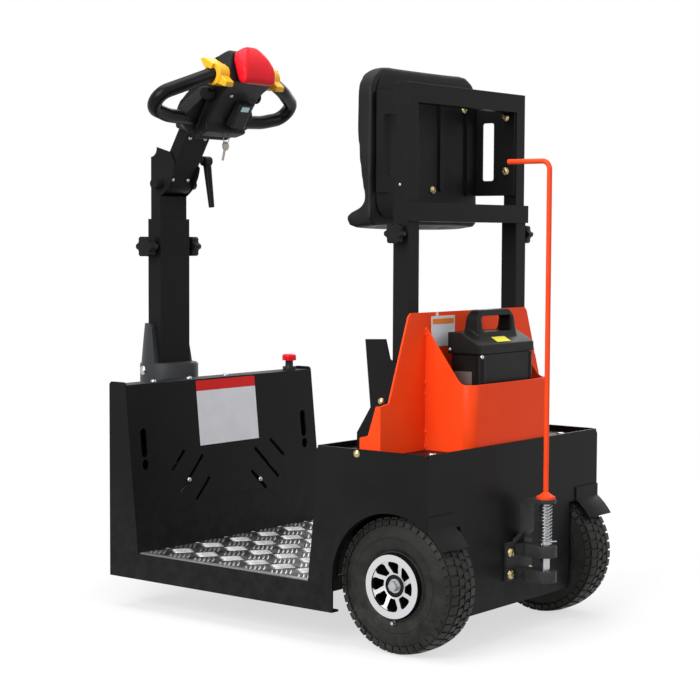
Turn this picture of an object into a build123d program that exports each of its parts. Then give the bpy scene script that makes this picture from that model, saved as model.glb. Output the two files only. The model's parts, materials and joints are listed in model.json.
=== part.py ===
"""Stand-on electric baggage tug with a lean seat, a three-wheel tow tractor.

Frame: +X forward, +Y left, +Z up, millimetres.  Everything is drawn with X measured
from the rear axle and is moved at the end, so that the origin lies on the floor under
the centre of the whole machine.
"""
import os
from math import atan2, cos, degrees, radians, sin, sqrt

from build123d import *

# ---------------------------------------------------------------- driving dimensions
BODY_HALF_WIDTH = 300.0
SHEET = 4.0                    # chassis sheet metal
REAR_X = -82.0                 # rear face of the body
NOSE_X = 174.0                 # front face of the rear box
NOSE_FOOT_X = 194.0            # the rear box leans forward to here at the floor
NOSE_BEND_Z = 300.0
BODY_TOP_Z = 378.0             # top edge of the rear box
DECK_DROP = 12.0               # the deck lies this far under the edge
DECK_T = 3.0
SILL_TOP_Z = 117.0
SILL_LOW_Z = 64.0
SILL_FLANGE = 20.0             # width of the sill's turned-in lower edge
FRONT_X = 727.0                # front end of the side plates
STRIP_TOP_X = 681.0            # rear edge of the upright front strips, top
STRIP_FOOT_X = 645.0           # and foot
SHIELD_TOP_Z = 468.0
SHIELD_DROP = 6.0              # the shield's top lies this far under the strips' tops
FLOOR_T = 3.0
EDGE_STRIP_WIDTH = 12.0
RAIL = 30.0                    # square rails under the floor
CROSS_MEMBERS = 4

# wheels
TYRE_DIAMETER = 260.0
TYRE_WIDTH = 88.0
TREAD_HALF = 34.0              # half width of the tread
SHOULDER_DROP = 3.0            # tread edge under the crown
RIM_DIAMETER = 118.0
RIM_REAR = 35.0                # rim's inner edge from the wheel's middle
RIM_FACE = 50.0                # and the bright face of its outer ring
RIM_RING = 12.6                # width of the bright ring
RIM_WALL = 5.0
DISH = 7.0                     # the spokes fall this far from the ring to the hub
SPOKE_T = 7.0
HUB_RADIUS = 21.0
HUB_FACE = 35.0
POCKETS = 8                    # curved openings between the spokes
POCKET_TURN = 37.0             # degrees each opening takes at the ring
POCKET_NARROW = 0.72           # and this share of them at the hub
POCKET_SWIRL = 9.0             # degrees the opening's inner end lags
AXLE_RADIUS = 12.0
AXLE_FIT = 0.5
TRACK_HALF = BODY_HALF_WIDTH - 55.0   # middle of a rear tyre from the centre line
ARCH_GAP = 5.0                 # wheel-arch edge past the tyre's radius, seen from the side
ARCH_LIP = 14.0
WELL_GAP = 8.0                 # tyre to the inner wheel-well wall
WELL_ROOF_GAP = 14.0
FLAP_GAP = 7.0                 # tyre to the small rear mudguard
FLAP_T = 3.0
FLAP_DROP = 37.0               # height of the flap's curved part
FLAP_TAB = 22.0                # height of its tab on the panel
FLAP_INNER_Y = 215.0

# rear axle and drive
HOUSING_RADIUS = 30.0
GEARBOX = (62.0, 20.0, 110.0)  # radius, then from and to Y
MOTOR = (55.0, -130.0, -20.0)
MOUNT_Y = 150.0
MOUNT_T = 8.0
MOUNT_HALF = 45.0

# steering
STEER_X = 845.0                # steering axis and front wheel
HEAD_TUBE_RADIUS = 45.0
BRACKET_HALF = 90.0            # half width of the bracket where it meets the body
STEM_RADIUS = 25.0
STEM_FIT = 0.5
BASE_RADIUS = 65.0             # round base casting
BASE_STEP = 3.0
BASE_Z = (402.0, 487.0)
EAR_TOP_Z = 575.0
EAR_TOP_RADIUS = 55.0
FORK_GAP = 12.0                # tyre side to a fork leg
FORK_LEG = 10.0
FORK_CROWN_Z = (TYRE_DIAMETER + 20.0, TYRE_DIAMETER + 40.0)
HEAD_TUBE_Z = (FORK_CROWN_Z[1] + 8.0, 396.0)
WHEEL_OPENING_HALF = 165.0     # opening in the front panel for the steered wheel

# column
OUTER_TUBE = (38.0, 92.0)      # X depth, Y width
INNER_TUBE = (28.0, 84.0)
OUTER_WALL = 3.5
INNER_WALL = 3.0
OUTER_TUBE_TOP_Z = 806.0
COLUMN_FOOT_Z = 430.0
INNER_TUBE_FOOT_Z = 560.0
INNER_TUBE_TOP_Z = 856.0       # above this only the two cheeks and a front lip rise
FRONT_LIP = 24.0               # height of that lip
COLUMN_KNOB_Z = 745.0
COLUMN_KNOB = (24.0, 34.0)     # radius, height
CHEEK_TOP_Z = 964.0
TILT_PIVOT_X = 830.0
TILT_PIVOT_Z = 883.0
TILT_PIN_RADIUS = 6.0
TILT_CAP = (11.0, 22.0)        # radius, height of the cap nuts
CLAMP_REACH = 61.0             # pivot to clamp screw
CLAMP_SCREW_RADIUS = 5.0
CLAMP_SLOT = (-37.0, 27.0)     # degrees the curved slot runs either side of rest
TILLER_LEAN = 30.0             # degrees back from upright
TILLER_DEPTH = 28.0
TILLER_GAP = 1.0               # tiller stem to each cheek
TILLER_TAIL = 21.0             # radius of the stem's round foot
TILLER_LENGTH = 165.0
GRIP_RADIUS = 15.0
HEAD_HALF = 62.0               # half width of the head's middle
HEAD_TOP = 345.0               # head's top above the pivot, along the stem
BUTTON_HALF = 50.0
SWITCH_Y = 66.0                # inner face of a thumb switch
SWITCH_WIDTH = 31.0
SWITCH_Z = 298.0
SWITCH_RADIUS = 24.0

# seat
POST = 35.0                    # square outer posts
POST_X = 35.0                  # rear face of the posts
POST_OUTER_Y = 202.0
POST_WALL = 2.0
STILE_GAP = 0.5
STILE_WALL = 2.5
CROSSBAR_Z = (798.0, 833.0)
CROSSBAR_REAR_X = 28.5
CROSSBAR_WALL = 3.0
STILE_FOOT_Z = 600.0
SEAT_RAIL_Z = (1020.0, 1056.0)
POST_KNOB_Z = 775.0
POST_KNOB = (20.0, 26.0)       # radius, height
BRACKET_REAR_X = 40.0
BRACKET_Z = (853.0, 1046.0)
BRACKET_T = 5.0
BRACKET_FOOT = 40.0            # width of the foot on the seat pan
BRACKET_SLOT = (104.0, 942.0, 28.0, 117.0)   # middle X and Z, width, height
CHEEK_T = 4.0                  # cheek plates beside the posts
PAN_X = 136.0
PAN_T = 3.0
PAN_MARGIN = 23.0              # pan edge inside the pad's edge
PAN_RIB = (42.0, 14.0, 5.0)    # middle Y, width, height
PAD_HALF_WIDTH = 187.0
PAD_Z = (784.0, 1100.0)
PAD_THICKNESS = 37.0
PAD_WAIST = (18.0, 66.0)       # thickness where it is thinnest, and height above the foot
PAD_LIP = (63.0, 32.0)         # lip at the foot: reach from the pan, height
PAD_CORNERS = (62.0, 22.0)     # upper and lower corner radius
SOFT_GAP = 0.3

# battery and its orange holder
HOLDER_T = 4.0
HOLDER_TOP_Z = 627.0
HOLDER_TOP_HALF = 204.0
HOLDER_SHOULDER = (263.0, 462.0)   # half width and height where the slope ends
HOLDER_INSET = 6.0             # wing flange inside the side plate
BASKET_LEFT_Y = 150.0
BASKET_RIGHT_Y = -128.0
BASKET_T = 3.0
BASKET_TOP_Z = 494.0
BASKET_CORNER = 20.0
BASKET_SLOPE = (600.0, -50.0)  # height at the plate, X where it reaches the rim
BASKET_REAR_GAP = 1.0          # basket's rear wall to the body's rear panel
CASE_X = (-62.0, 12.0)
CASE_Y = (-78.0, 98.0)
CASE_CORNER = 8.0
LID_OVERHANG = 7.0
LID_Z = 548.0
LID_RISE = (18.0, 41.0)        # lid height at its rear edge and on its flat
LID_FLAT_X = -21.0             # rear edge of the flat
HANDLE_HALF = 66.0
HANDLE_X = (-46.0, 2.0)        # foot of the carrying handle
HANDLE_TAPER = 12.0            # it narrows this much at each face
HANDLE_TOP_Z = 631.0
HANDLE_GAP = (100.0, 30.0)     # finger opening, Y and Z
HANDLE_BAR = 12.0              # bar above the opening

# hitch
PIN_X = -145.5
PIN_RADIUS = 9.0
PIN_FIT = 0.6
JAW_RADIUS = 22.5
JAW_NECK = 14.0                # half width of a jaw's neck
JAW_T = 22.0
JAW_Z = (124.0, 172.0)         # middles of the lower and the upper jaw
HITCH_PLATE_T = 6.0
HITCH_PLATE_HALF = 45.0
HITCH_PLATE_MARGIN = (12.0, 14.0)
STRAP_T = 8.0
STRAP_HALF = 20.0
STRAP_X = -104.0               # upright run of the guide strap
STRAP_Z = 268.0                # middle of its eye
STRAP_BEND = 12.0
FLANGE = (18.0, 5.0, 8.0)      # red flange on the pin: radius, height, height of its cone
COLLAR_Z = 186.0
COLLAR_T = 3.0
SPRING_WIRE = 1.6
SPRING_TURNS = 11
SPRING_GAP = 0.6
ROD_RADIUS = 5.0
ROD_TOP_Z = 913.0
ROD_REACH = 92.0
ROD_BEND = 16.0

# emergency stop on the top plate
STOP_INSET = 50.0
STOP_NECK = (9.0, 22.0)        # radius, height
STOP_COLLAR = (15.0, 8.0)
STOP_KNOB = (16.0, 14.0)

# Worked out from the sizes above
AXLE_Z = TYRE_DIAMETER / 2
INSIDE_Y = BODY_HALF_WIDTH - SHEET
DECK_Z = BODY_TOP_Z - DECK_DROP
ARCH_RADIUS = TYRE_DIAMETER / 2 + ARCH_GAP
ARCH_END_Z = AXLE_Z + sqrt(ARCH_RADIUS ** 2 - REAR_X ** 2)   # arch at the rear panel
WELL_INNER_Y = TRACK_HALF - TYRE_WIDTH / 2 - WELL_GAP
SHIELD_Z = SHIELD_TOP_Z - SHIELD_DROP
FLOOR_LOW_Z = SILL_TOP_Z - FLOOR_T
STRAP_EYE_Z = (STRAP_Z - STRAP_T / 2, STRAP_Z + STRAP_T / 2)
TAIL_X = PIN_X - JAW_RADIUS
NOSE_END_X = STEER_X + TYRE_DIAMETER / 2
ORIGIN_X = (TAIL_X + NOSE_END_X) / 2       # middle of the whole length


# ------------------------------------------------------------------------ shape helpers
def block(x, y, z):
    """Box from three (low, high) pairs."""
    size = [high - low for low, high in (x, y, z)]
    middle = [(high + low) / 2 for low, high in (x, y, z)]
    return Pos(*middle) * Box(*size)


def outline(*points):
    return make_face(Polyline(*points, close=True))


def slab_xz(face, y_low, y_high):
    """Face drawn in X and Z, thick from y_low to y_high."""
    plane = Plane(origin=(0, y_high, 0), x_dir=(1, 0, 0), z_dir=(0, -1, 0))
    return extrude(plane * face, y_high - y_low)


def slab_yz(face, x_low, x_high):
    """Face drawn in Y and Z, thick from x_low to x_high."""
    plane = Plane(origin=(x_low, 0, 0), x_dir=(0, 1, 0), z_dir=(1, 0, 0))
    return extrude(plane * face, x_high - x_low)


def slab_xy(face, z_low, z_high):
    """Face drawn in X and Y, thick from z_low to z_high."""
    return extrude(Plane.XY.offset(z_low) * face, z_high - z_low)


def rod(start, end, radius, inner=0.0):
    """Round bar, or tube if it has an inner radius."""
    axis = Vector(*end) - Vector(*start)
    section = Circle(radius)
    if inner:
        section = section - Circle(inner)
    return extrude(Plane(origin=start, z_dir=axis) * section, axis.length)


def cross_rod(x, z, y_low, y_high, radius, inner=0.0):
    """Round bar along Y."""
    return rod((x, y_low, z), (x, y_high, z), radius, inner)


def upright_rod(x, z_low, z_high, radius, inner=0.0):
    """Round bar along Z on the centre plane."""
    return rod((x, 0, z_low), (x, 0, z_high), radius, inner)


def turned(*points):
    """Solid of revolution about Y from (radius, y) points."""
    return revolve(outline(*points), Axis.Y)


def bent_pipe(points, bends, radius):
    """Round pipe along straight runs joined by arcs."""
    path = FilletPolyline(*points, radius=bends)
    section = Plane(origin=path @ 0, z_dir=path % 0) * Circle(radius)
    return sweep(section, path=path)


def rounded(face, radius, keep_low=False):
    """Face with its corners rounded, all or all but the lowest ones."""
    corners = face.vertices()
    if keep_low:
        lowest = min(corner.Y for corner in corners)
        corners = [corner for corner in corners if corner.Y > lowest + 1]
    return fillet(corners, radius)


def right_of(shape):
    return mirror(shape, about=Plane.XZ)


def both_sides(shape):
    """The shape and its mirror image across the centre plane."""
    return Compound(children=[*shape.solids(), *right_of(shape).solids()])


PARTS = {}


def keep(name, shape):
    PARTS[name] = shape


# ---------------------------------------------------------------------------- chassis
def side_plate():
    """One sheet from the rear corner along the sill to the upright front strip."""
    face = outline(
        (REAR_X, SILL_LOW_Z),
        (FRONT_X, SILL_LOW_Z),
        (FRONT_X, SHIELD_TOP_Z),
        (STRIP_TOP_X, SHIELD_TOP_Z),
        (STRIP_FOOT_X, SILL_TOP_Z),
        (NOSE_FOOT_X, SILL_TOP_Z),
        (NOSE_X, NOSE_BEND_Z),
        (NOSE_X, BODY_TOP_Z),
        (REAR_X, BODY_TOP_Z),
    )
    face = fillet([v for v in face.vertices() if v.Y > SHIELD_TOP_Z - 1], 2 * SHEET)
    face = fillet([v for v in face.vertices() if abs(v.Y - BODY_TOP_Z) < 1], 3 * SHEET)
    arch = Pos(0, AXLE_Z) * Circle(ARCH_RADIUS)
    leg = Pos(0, AXLE_Z / 2) * Rectangle(2 * ARCH_RADIUS, AXLE_Z)
    plate = slab_xz(face - arch - leg, INSIDE_Y, BODY_HALF_WIDTH)
    above_axle = Pos(REAR_X + SHEET + ARCH_RADIUS, AXLE_Z + ARCH_RADIUS) * Rectangle(
        2 * ARCH_RADIUS, 2 * ARCH_RADIUS)
    lip_face = (Pos(0, AXLE_Z) * Circle(ARCH_RADIUS + SHEET) - arch) & above_axle
    lip = slab_xz(lip_face, INSIDE_Y - ARCH_LIP, INSIDE_Y)
    flange = block((ARCH_RADIUS, FRONT_X), (BODY_HALF_WIDTH - SILL_FLANGE, INSIDE_Y),
                   (SILL_LOW_Z, SILL_LOW_Z + SHEET))
    return plate + lip + flange


def rear_panel():
    face = outline(
        (-INSIDE_Y, BODY_TOP_Z),
        (-INSIDE_Y, ARCH_END_Z),
        (-WELL_INNER_Y, ARCH_END_Z),
        (-WELL_INNER_Y, SILL_LOW_Z),
        (WELL_INNER_Y, SILL_LOW_Z),
        (WELL_INNER_Y, ARCH_END_Z),
        (INSIDE_Y, ARCH_END_Z),
        (INSIDE_Y, BODY_TOP_Z),
    )
    return slab_yz(face, REAR_X, REAR_X + SHEET)


def nose_panel():
    """Front wall of the rear box, bent forward towards its foot."""
    face = outline(
        (NOSE_X, BODY_TOP_Z),
        (NOSE_X, NOSE_BEND_Z),
        (NOSE_FOOT_X, SILL_TOP_Z),
        (NOSE_FOOT_X - SHEET, SILL_TOP_Z),
        (NOSE_X - SHEET, NOSE_BEND_Z),
        (NOSE_X - SHEET, BODY_TOP_Z),
    )
    return slab_xz(face, -INSIDE_Y, INSIDE_Y)


def wheel_well():
    """Inner wall and roof over the left rear wheel."""
    x = (REAR_X + SHEET, NOSE_X - SHEET)
    roof = TYRE_DIAMETER + WELL_ROOF_GAP
    wall = block(x, (WELL_INNER_Y - SHEET, WELL_INNER_Y), (SILL_LOW_Z, roof + SHEET))
    wall -= cross_rod(0, AXLE_Z, 0, INSIDE_Y, HOUSING_RADIUS + SHEET)
    return wall + block(x, (WELL_INNER_Y, INSIDE_Y), (roof, roof + SHEET))


def mudguard_flap():
    """Small guard that hugs the left tyre behind the rear panel."""
    inner = TYRE_DIAMETER / 2 + FLAP_GAP
    outer = inner + FLAP_T
    top = AXLE_Z + sqrt(outer ** 2 - REAR_X ** 2)
    window = Pos(REAR_X - outer / 2, top - FLAP_DROP / 2) * Rectangle(outer, FLAP_DROP)
    arc = (Pos(0, AXLE_Z) * (Circle(outer) - Circle(inner))) & window
    tab = Pos(REAR_X - FLAP_T / 2, top + (FLAP_TAB - FLAP_T) / 2) * Rectangle(FLAP_T, FLAP_TAB + FLAP_T)
    return slab_xz(arc + tab, FLAP_INNER_Y, BODY_HALF_WIDTH)


def shield_x(z):
    """X of the leaning shield's rear face at a height."""
    slope = (STRIP_TOP_X - STRIP_FOOT_X) / (SHIELD_TOP_Z - SILL_TOP_Z)
    return STRIP_FOOT_X + (z - SILL_TOP_Z) * slope


def shield_panel():
    """Leaning front panel, with two upright and three slanted slots on each side."""
    low = FLOOR_LOW_Z
    face = outline(
        (shield_x(SHIELD_Z), SHIELD_Z),
        (shield_x(low), low),
        (shield_x(low) + SHEET, low),
        (shield_x(SHIELD_Z) + SHEET, SHIELD_Z),
    )
    panel = slab_xz(face, -INSIDE_Y, INSIDE_Y)
    # middle of one end, Y and Z, of the other end, and width
    slots = [
        (258, 319, 258, 361, 18),
        (258, 293, 258, 297, 18),
        (141, 313, 180, 276, 8),
        (87, 297, 157, 230, 8),
        (70, 248, 112, 209, 8),
    ]
    for y1, z1, y2, z2, width in slots:
        length = sqrt((y2 - y1) ** 2 + (z2 - z1) ** 2) + width
        turn = degrees(atan2(z2 - z1, y2 - y1))
        slot = Pos((y1 + y2) / 2, (z1 + z2) / 2) * SlotOverall(length, width, rotation=turn)
        for hole in (slot, mirror(slot, about=Plane.YZ)):
            panel -= slab_yz(hole, STRIP_FOOT_X, STRIP_TOP_X + 2 * SHEET)
    return panel


def front_cover():
    """Top plate, and the front panel with its opening for the steered wheel."""
    plate = block((shield_x(SHIELD_Z) + SHEET, FRONT_X), (-INSIDE_Y, INSIDE_Y), (SHIELD_Z - SHEET, SHIELD_Z))
    low = SILL_LOW_Z + SHEET
    high = SHIELD_Z - SHEET
    face = Pos(0, (low + high) / 2) * Rectangle(2 * INSIDE_Y, high - low)
    opening = outline(
        (-WHEEL_OPENING_HALF, low),
        (-WHEEL_OPENING_HALF, FORK_CROWN_Z[0]),
        (WHEEL_OPENING_HALF, FORK_CROWN_Z[0]),
        (WHEEL_OPENING_HALF, low),
    )
    return plate + slab_yz(face - rounded(opening, 30, keep_low=True), FRONT_X - SHEET, FRONT_X)


def floor_plate():
    return block((NOSE_FOOT_X, shield_x(FLOOR_LOW_Z)), (-INSIDE_Y, INSIDE_Y), (FLOOR_LOW_Z, SILL_TOP_Z))


def floor_edge_strips():
    strip = block((NOSE_FOOT_X + 1, STRIP_FOOT_X - 1), (INSIDE_Y - EDGE_STRIP_WIDTH, INSIDE_Y),
                  (SILL_TOP_Z, SILL_TOP_Z + 2))
    return both_sides(strip)


FRAME_Z = (FLOOR_LOW_Z - RAIL, FLOOR_LOW_Z)
FRAME_X = (NOSE_FOOT_X + SHEET, shield_x(FLOOR_LOW_Z - RAIL))
RAIL_OUTER_Y = WELL_INNER_Y - SHEET / 2


def floor_rails():
    """Two square rails from the rear box to the front panel."""
    return both_sides(block(FRAME_X, (RAIL_OUTER_Y - RAIL, RAIL_OUTER_Y), FRAME_Z))


def floor_cross_members():
    """Cross members between the rails, with an outrigger to each sill in line."""
    pitch = (FRAME_X[1] - FRAME_X[0] - RAIL) / (CROSS_MEMBERS - 1)
    inner = RAIL_OUTER_Y - RAIL
    solids = []
    for index in range(CROSS_MEMBERS):
        x = (FRAME_X[0] + index * pitch, FRAME_X[0] + index * pitch + RAIL)
        for y in ((-INSIDE_Y, -RAIL_OUTER_Y), (-inner, inner), (RAIL_OUTER_Y, INSIDE_Y)):
            solids.append(block(x, y, FRAME_Z))
    return Compound(children=solids)


def steering_bracket():
    """Box arm from the front panel to the upright steering head tube."""
    low, high = HEAD_TUBE_Z
    radius = HEAD_TUBE_RADIUS
    arm = slab_xy(
        outline((FRONT_X, -BRACKET_HALF), (STEER_X, -radius), (STEER_X, radius), (FRONT_X, BRACKET_HALF)),
        low + SHEET, high - SHEET,
    )
    tube = upright_rod(STEER_X, low, high, radius)
    return arm + tube - upright_rod(STEER_X, low - 1, high + 1, STEM_RADIUS + STEM_FIT)


def rear_axle():
    """Axle housing and gearbox with the spindle that carries both wheels."""
    reach = WELL_INNER_Y - 1
    spindle = TRACK_HALF + HUB_FACE
    radius, near, far = GEARBOX
    return (cross_rod(0, AXLE_Z, -reach, reach, HOUSING_RADIUS) + cross_rod(0, AXLE_Z, near, far, radius)
            + cross_rod(0, AXLE_Z, -spindle, spindle, AXLE_RADIUS))


def drive_motor():
    radius, near, far = MOTOR
    return cross_rod(0, AXLE_Z, near, far, radius, HOUSING_RADIUS)


def axle_mounts():
    """Two plates that hang the axle housing from the deck."""
    half = MOUNT_HALF
    low = AXLE_Z - HOUSING_RADIUS - MOUNT_T
    top = DECK_Z - DECK_T
    face = outline((-half, top), (half, top), (half, AXLE_Z + half / 2), (half / 2, low), (-half / 2, low),
                   (-half, AXLE_Z + half / 2))
    face -= Pos(0, AXLE_Z) * Circle(HOUSING_RADIUS)
    return both_sides(slab_xz(face, MOUNT_Y, MOUNT_Y + MOUNT_T))


def emergency_stop():
    """Mushroom button on a short collar at the right of the top plate."""
    x = (STRIP_TOP_X + FRONT_X) / 2
    neck = Cylinder(*STOP_NECK, align=(Align.CENTER, Align.CENTER, Align.MIN))
    collar = Cylinder(*STOP_COLLAR, align=(Align.CENTER, Align.CENTER, Align.MIN))
    knob = Cylinder(*STOP_KNOB, align=(Align.CENTER, Align.CENTER, Align.MIN))
    knob = fillet(knob.edges().group_by(Axis.Z)[-1], STOP_KNOB[1] / 3)
    return Pos(x, STOP_INSET - BODY_HALF_WIDTH, SHIELD_Z) * (neck + collar + Pos(0, 0, STOP_NECK[1]) * knob)


# ------------------------------------------------------------------- seat posts, holder
def seat_post():
    """Left square post, open at the top for the seat's stile."""
    x = (POST_X, POST_X + POST)
    y = (POST_OUTER_Y - POST, POST_OUTER_Y)
    high = CROSSBAR_Z[1]
    void = block((x[0] + POST_WALL, x[1] - POST_WALL), (y[0] + POST_WALL, y[1] - POST_WALL),
                 (DECK_Z + 2 * SHEET, high + 1))
    return block(x, y, (DECK_Z, high)) - void


def seat_crossbar():
    """Tube between the posts with a thin plate along its rear."""
    inner = POST_OUTER_Y - POST
    low, high = CROSSBAR_Z
    wall = CROSSBAR_WALL
    tube = block((POST_X, POST_X + POST), (-inner, inner), CROSSBAR_Z)
    tube -= block((POST_X + wall, POST_X + POST - wall), (-inner, inner), (low + wall, high - wall))
    return tube + block((CROSSBAR_REAR_X, POST_X), (-POST_OUTER_Y, POST_OUTER_Y), CROSSBAR_Z)


def post_bracket():
    """Cheek plate beside the left post with a gusset across its front."""
    y = (POST_OUTER_Y, POST_OUTER_Y + CHEEK_T)
    front = POST_X + POST
    cheek = slab_xz(
        outline((POST_X, DECK_Z), (151, DECK_Z), (151, DECK_Z + 30), (119, DECK_Z + 80), (132, 575), (84, 577),
                (front + CHEEK_T, 540), (POST_X, 520)),
        *y,
    )
    gusset = block((100, 119), (POST_OUTER_Y - POST - 11, POST_OUTER_Y), (DECK_Z, DECK_Z + 70))
    return cheek + gusset


def star_knob(radius, height, lobes=6):
    """Star grip along +Z from the origin: lobed head on a collar."""
    head = Circle(radius * 0.78)
    for index in range(lobes):
        head += Rot(0, 0, 360 / lobes * index) * Pos(radius * 0.72, 0) * Circle(radius * 0.28)
    collar = Cylinder(radius * 0.45, height, align=(Align.CENTER, Align.CENTER, Align.MIN))
    return collar + Pos(0, 0, height * 0.4) * extrude(head, height * 0.6)


def post_knobs():
    left = Pos(POST_X + POST / 2, POST_OUTER_Y, POST_KNOB_Z) * Rot(-90, 0, 0) * star_knob(*POST_KNOB)
    return both_sides(left)


def battery_holder():
    """Upright plate behind the posts, its side flanges and the bent battery basket."""
    x = (POST_X - HOLDER_T, POST_X)
    wing = INSIDE_Y - HOLDER_INSET
    shoulder_z = HOLDER_SHOULDER[1]
    face = outline(
        (0, DECK_Z),
        (wing, DECK_Z),
        (wing, shoulder_z - HOLDER_T),
        HOLDER_SHOULDER,
        (HOLDER_TOP_HALF, HOLDER_TOP_Z - 7),
        (HOLDER_TOP_HALF - 7, HOLDER_TOP_Z),
        (0, HOLDER_TOP_Z),
    )
    plate = slab_yz(face + mirror(face, about=Plane.YZ), *x)
    flange = slab_xz(
        outline((x[0], DECK_Z), (79, DECK_Z), (79, DECK_Z + 32), (60, DECK_Z + 37), (42, shoulder_z - HOLDER_T),
                (x[0], shoulder_z - HOLDER_T)),
        wing - HOLDER_T, wing,
    )
    rear = REAR_X + SHEET + BASKET_REAR_GAP + BASKET_T / 2
    left = BASKET_LEFT_Y - BASKET_T / 2
    right = BASKET_RIGHT_Y + BASKET_T / 2
    run = FilletPolyline((x[0], left), (rear, left), (rear, right), (x[0], right), radius=BASKET_CORNER)
    slope_z, slope_x = BASKET_SLOPE
    side = outline((x[0], DECK_Z), (x[0], slope_z), (slope_x, BASKET_TOP_Z), (REAR_X, BASKET_TOP_Z),
                   (REAR_X, DECK_Z))
    bend = [v for v in side.vertices() if abs(v.X - slope_x) < 1]
    side = fillet(bend, BASKET_CORNER)
    basket = slab_xy(trace(run, line_width=BASKET_T), DECK_Z, slope_z)
    basket &= slab_xz(side, BASKET_RIGHT_Y, BASKET_LEFT_Y)
    return plate + flange + right_of(flange) + basket


def battery_case():
    case = block(CASE_X, CASE_Y, (DECK_Z, LID_Z))
    return chamfer(case.edges().filter_by(Axis.Z), CASE_CORNER)


def battery_lid():
    """Lid with a flat top that slopes down at the rear, and an arched carrying handle."""
    x = CASE_X
    y = (CASE_Y[0] - LID_OVERHANG, CASE_Y[1] + LID_OVERHANG)
    rear_z, flat_z = (LID_Z + rise for rise in LID_RISE)
    profile = outline((x[0], LID_Z), (x[1], LID_Z), (x[1], flat_z), (LID_FLAT_X, flat_z), (x[0], rear_z))
    lid = slab_xz(profile, *y)
    width, height = HANDLE_GAP
    top = HANDLE_TOP_Z
    gap_z = top - HANDLE_BAR - height / 2
    arch = outline((-HANDLE_HALF, LID_Z), (4 - HANDLE_HALF, top), (HANDLE_HALF - 4, top), (HANDLE_HALF, LID_Z))
    arch = rounded(arch, 22, keep_low=True) - Pos(0, gap_z) * RectangleRounded(width, height, 8)
    rear, front = HANDLE_X
    taper = outline((rear, LID_Z), (rear + HANDLE_TAPER, top), (front - HANDLE_TAPER, top), (front, LID_Z))
    handle = slab_yz(arch, *HANDLE_X) & slab_xz(taper, -HANDLE_HALF, HANDLE_HALF)
    return lid + Pos(0, sum(y) / 2, 0) * handle


def seat_frame():
    """Inner stiles that slide in the posts, joined by the top rail."""
    inset = POST_WALL + STILE_GAP
    wall = STILE_WALL
    x = (POST_X + inset, POST_X + POST - inset)
    y = (POST_OUTER_Y - POST + inset, POST_OUTER_Y - inset)
    stile = block(x, y, (STILE_FOOT_Z, SEAT_RAIL_Z[1]))
    stile -= block((x[0] + wall, x[1] - wall), (y[0] + wall, y[1] - wall), (STILE_FOOT_Z - 1, SEAT_RAIL_Z[0]))
    return stile + block(x, (-y[0], y[0]), SEAT_RAIL_Z) + right_of(stile)


def seat_bracket():
    """Slotted plate on the left stile's inner face, folded inwards behind the seat pan."""
    inset = POST_WALL + STILE_GAP
    outer = POST_OUTER_Y - POST + inset
    rail_x = POST_X + POST - inset
    low, high = BRACKET_Z
    rail_z = SEAT_RAIL_Z[0]
    front = PAN_X - BRACKET_T
    face = outline((BRACKET_REAR_X, low), (front, low), (front, high), (rail_x, high), (rail_x, rail_z),
                   (BRACKET_REAR_X, rail_z))
    slot_x, slot_z, width, height = BRACKET_SLOT
    face -= Pos(slot_x, slot_z) * RectangleRounded(width, height, 5)
    web = slab_xz(face, outer - BRACKET_T, outer)
    return web + block((front, PAN_X), (outer - BRACKET_FOOT, outer), BRACKET_Z)


def seat_pan():
    """Back plate of the pad with two pressed ribs."""
    low, high = PAD_Z
    width = 2 * (PAD_HALF_WIDTH - PAN_MARGIN)
    height = high - low - 2 * PAN_MARGIN
    pan = slab_yz(Pos(0, (low + high) / 2) * RectangleRounded(width, height, 30), PAN_X, PAN_X + PAN_T)
    rib_y, rib_width, rib_height = PAN_RIB
    for y in (-rib_y, rib_y):
        rib = Pos(y, (low + high) / 2 + PAN_MARGIN / 2) * SlotOverall(height * 0.7, rib_width, rotation=90)
        pan += slab_yz(rib, PAN_X - rib_height, PAN_X)
    return pan


def seat_pad():
    """Moulded lean pad: slim at the waist, with a blunt lip that reaches forward at its foot."""
    x0 = PAN_X + PAN_T + SOFT_GAP
    face_x = x0 + PAD_THICKNESS
    z0, z1 = PAD_Z
    waist = (x0 + PAD_WAIST[0], z0 + PAD_WAIST[1])
    reach, lip = PAD_LIP
    tip = x0 + reach
    round_top = PAD_THICKNESS * 0.6
    side = make_face([
        Polyline((x0, z1), (x0, z0), (tip - 12, z0)),
        ThreePointArc((tip - 12, z0), (tip, z0 + lip / 2), (tip - 12, z0 + lip)),
        Line((tip - 12, z0 + lip), (waist[0] + 16, z0 + lip + 5)),
        ThreePointArc((waist[0] + 16, z0 + lip + 5), (waist[0] + 3, z0 + lip + 15), waist),
        ThreePointArc(waist, (x0 + 31.5, z0 + 140), (face_x, z0 + 215)),
        Line((face_x, z0 + 215), (face_x, z1 - round_top)),
        ThreePointArc((face_x, z1 - round_top), (face_x - 6, z1 - 6), (face_x - round_top, z1)),
        Line((face_x - round_top, z1), (x0, z1)),
    ])
    upper, lower = PAD_CORNERS
    plate = Pos(0, (z0 + z1) / 2) * Rectangle(2 * PAD_HALF_WIDTH, z1 - z0)
    corners = plate.vertices().group_by(Axis.Y)
    plate = fillet(corners[-1], upper)
    plate = fillet(plate.vertices().group_by(Axis.Y)[0], lower)
    half = PAD_HALF_WIDTH
    return slab_xz(side, -half, half) & slab_yz(plate, x0 - 1, tip + 1)


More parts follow.
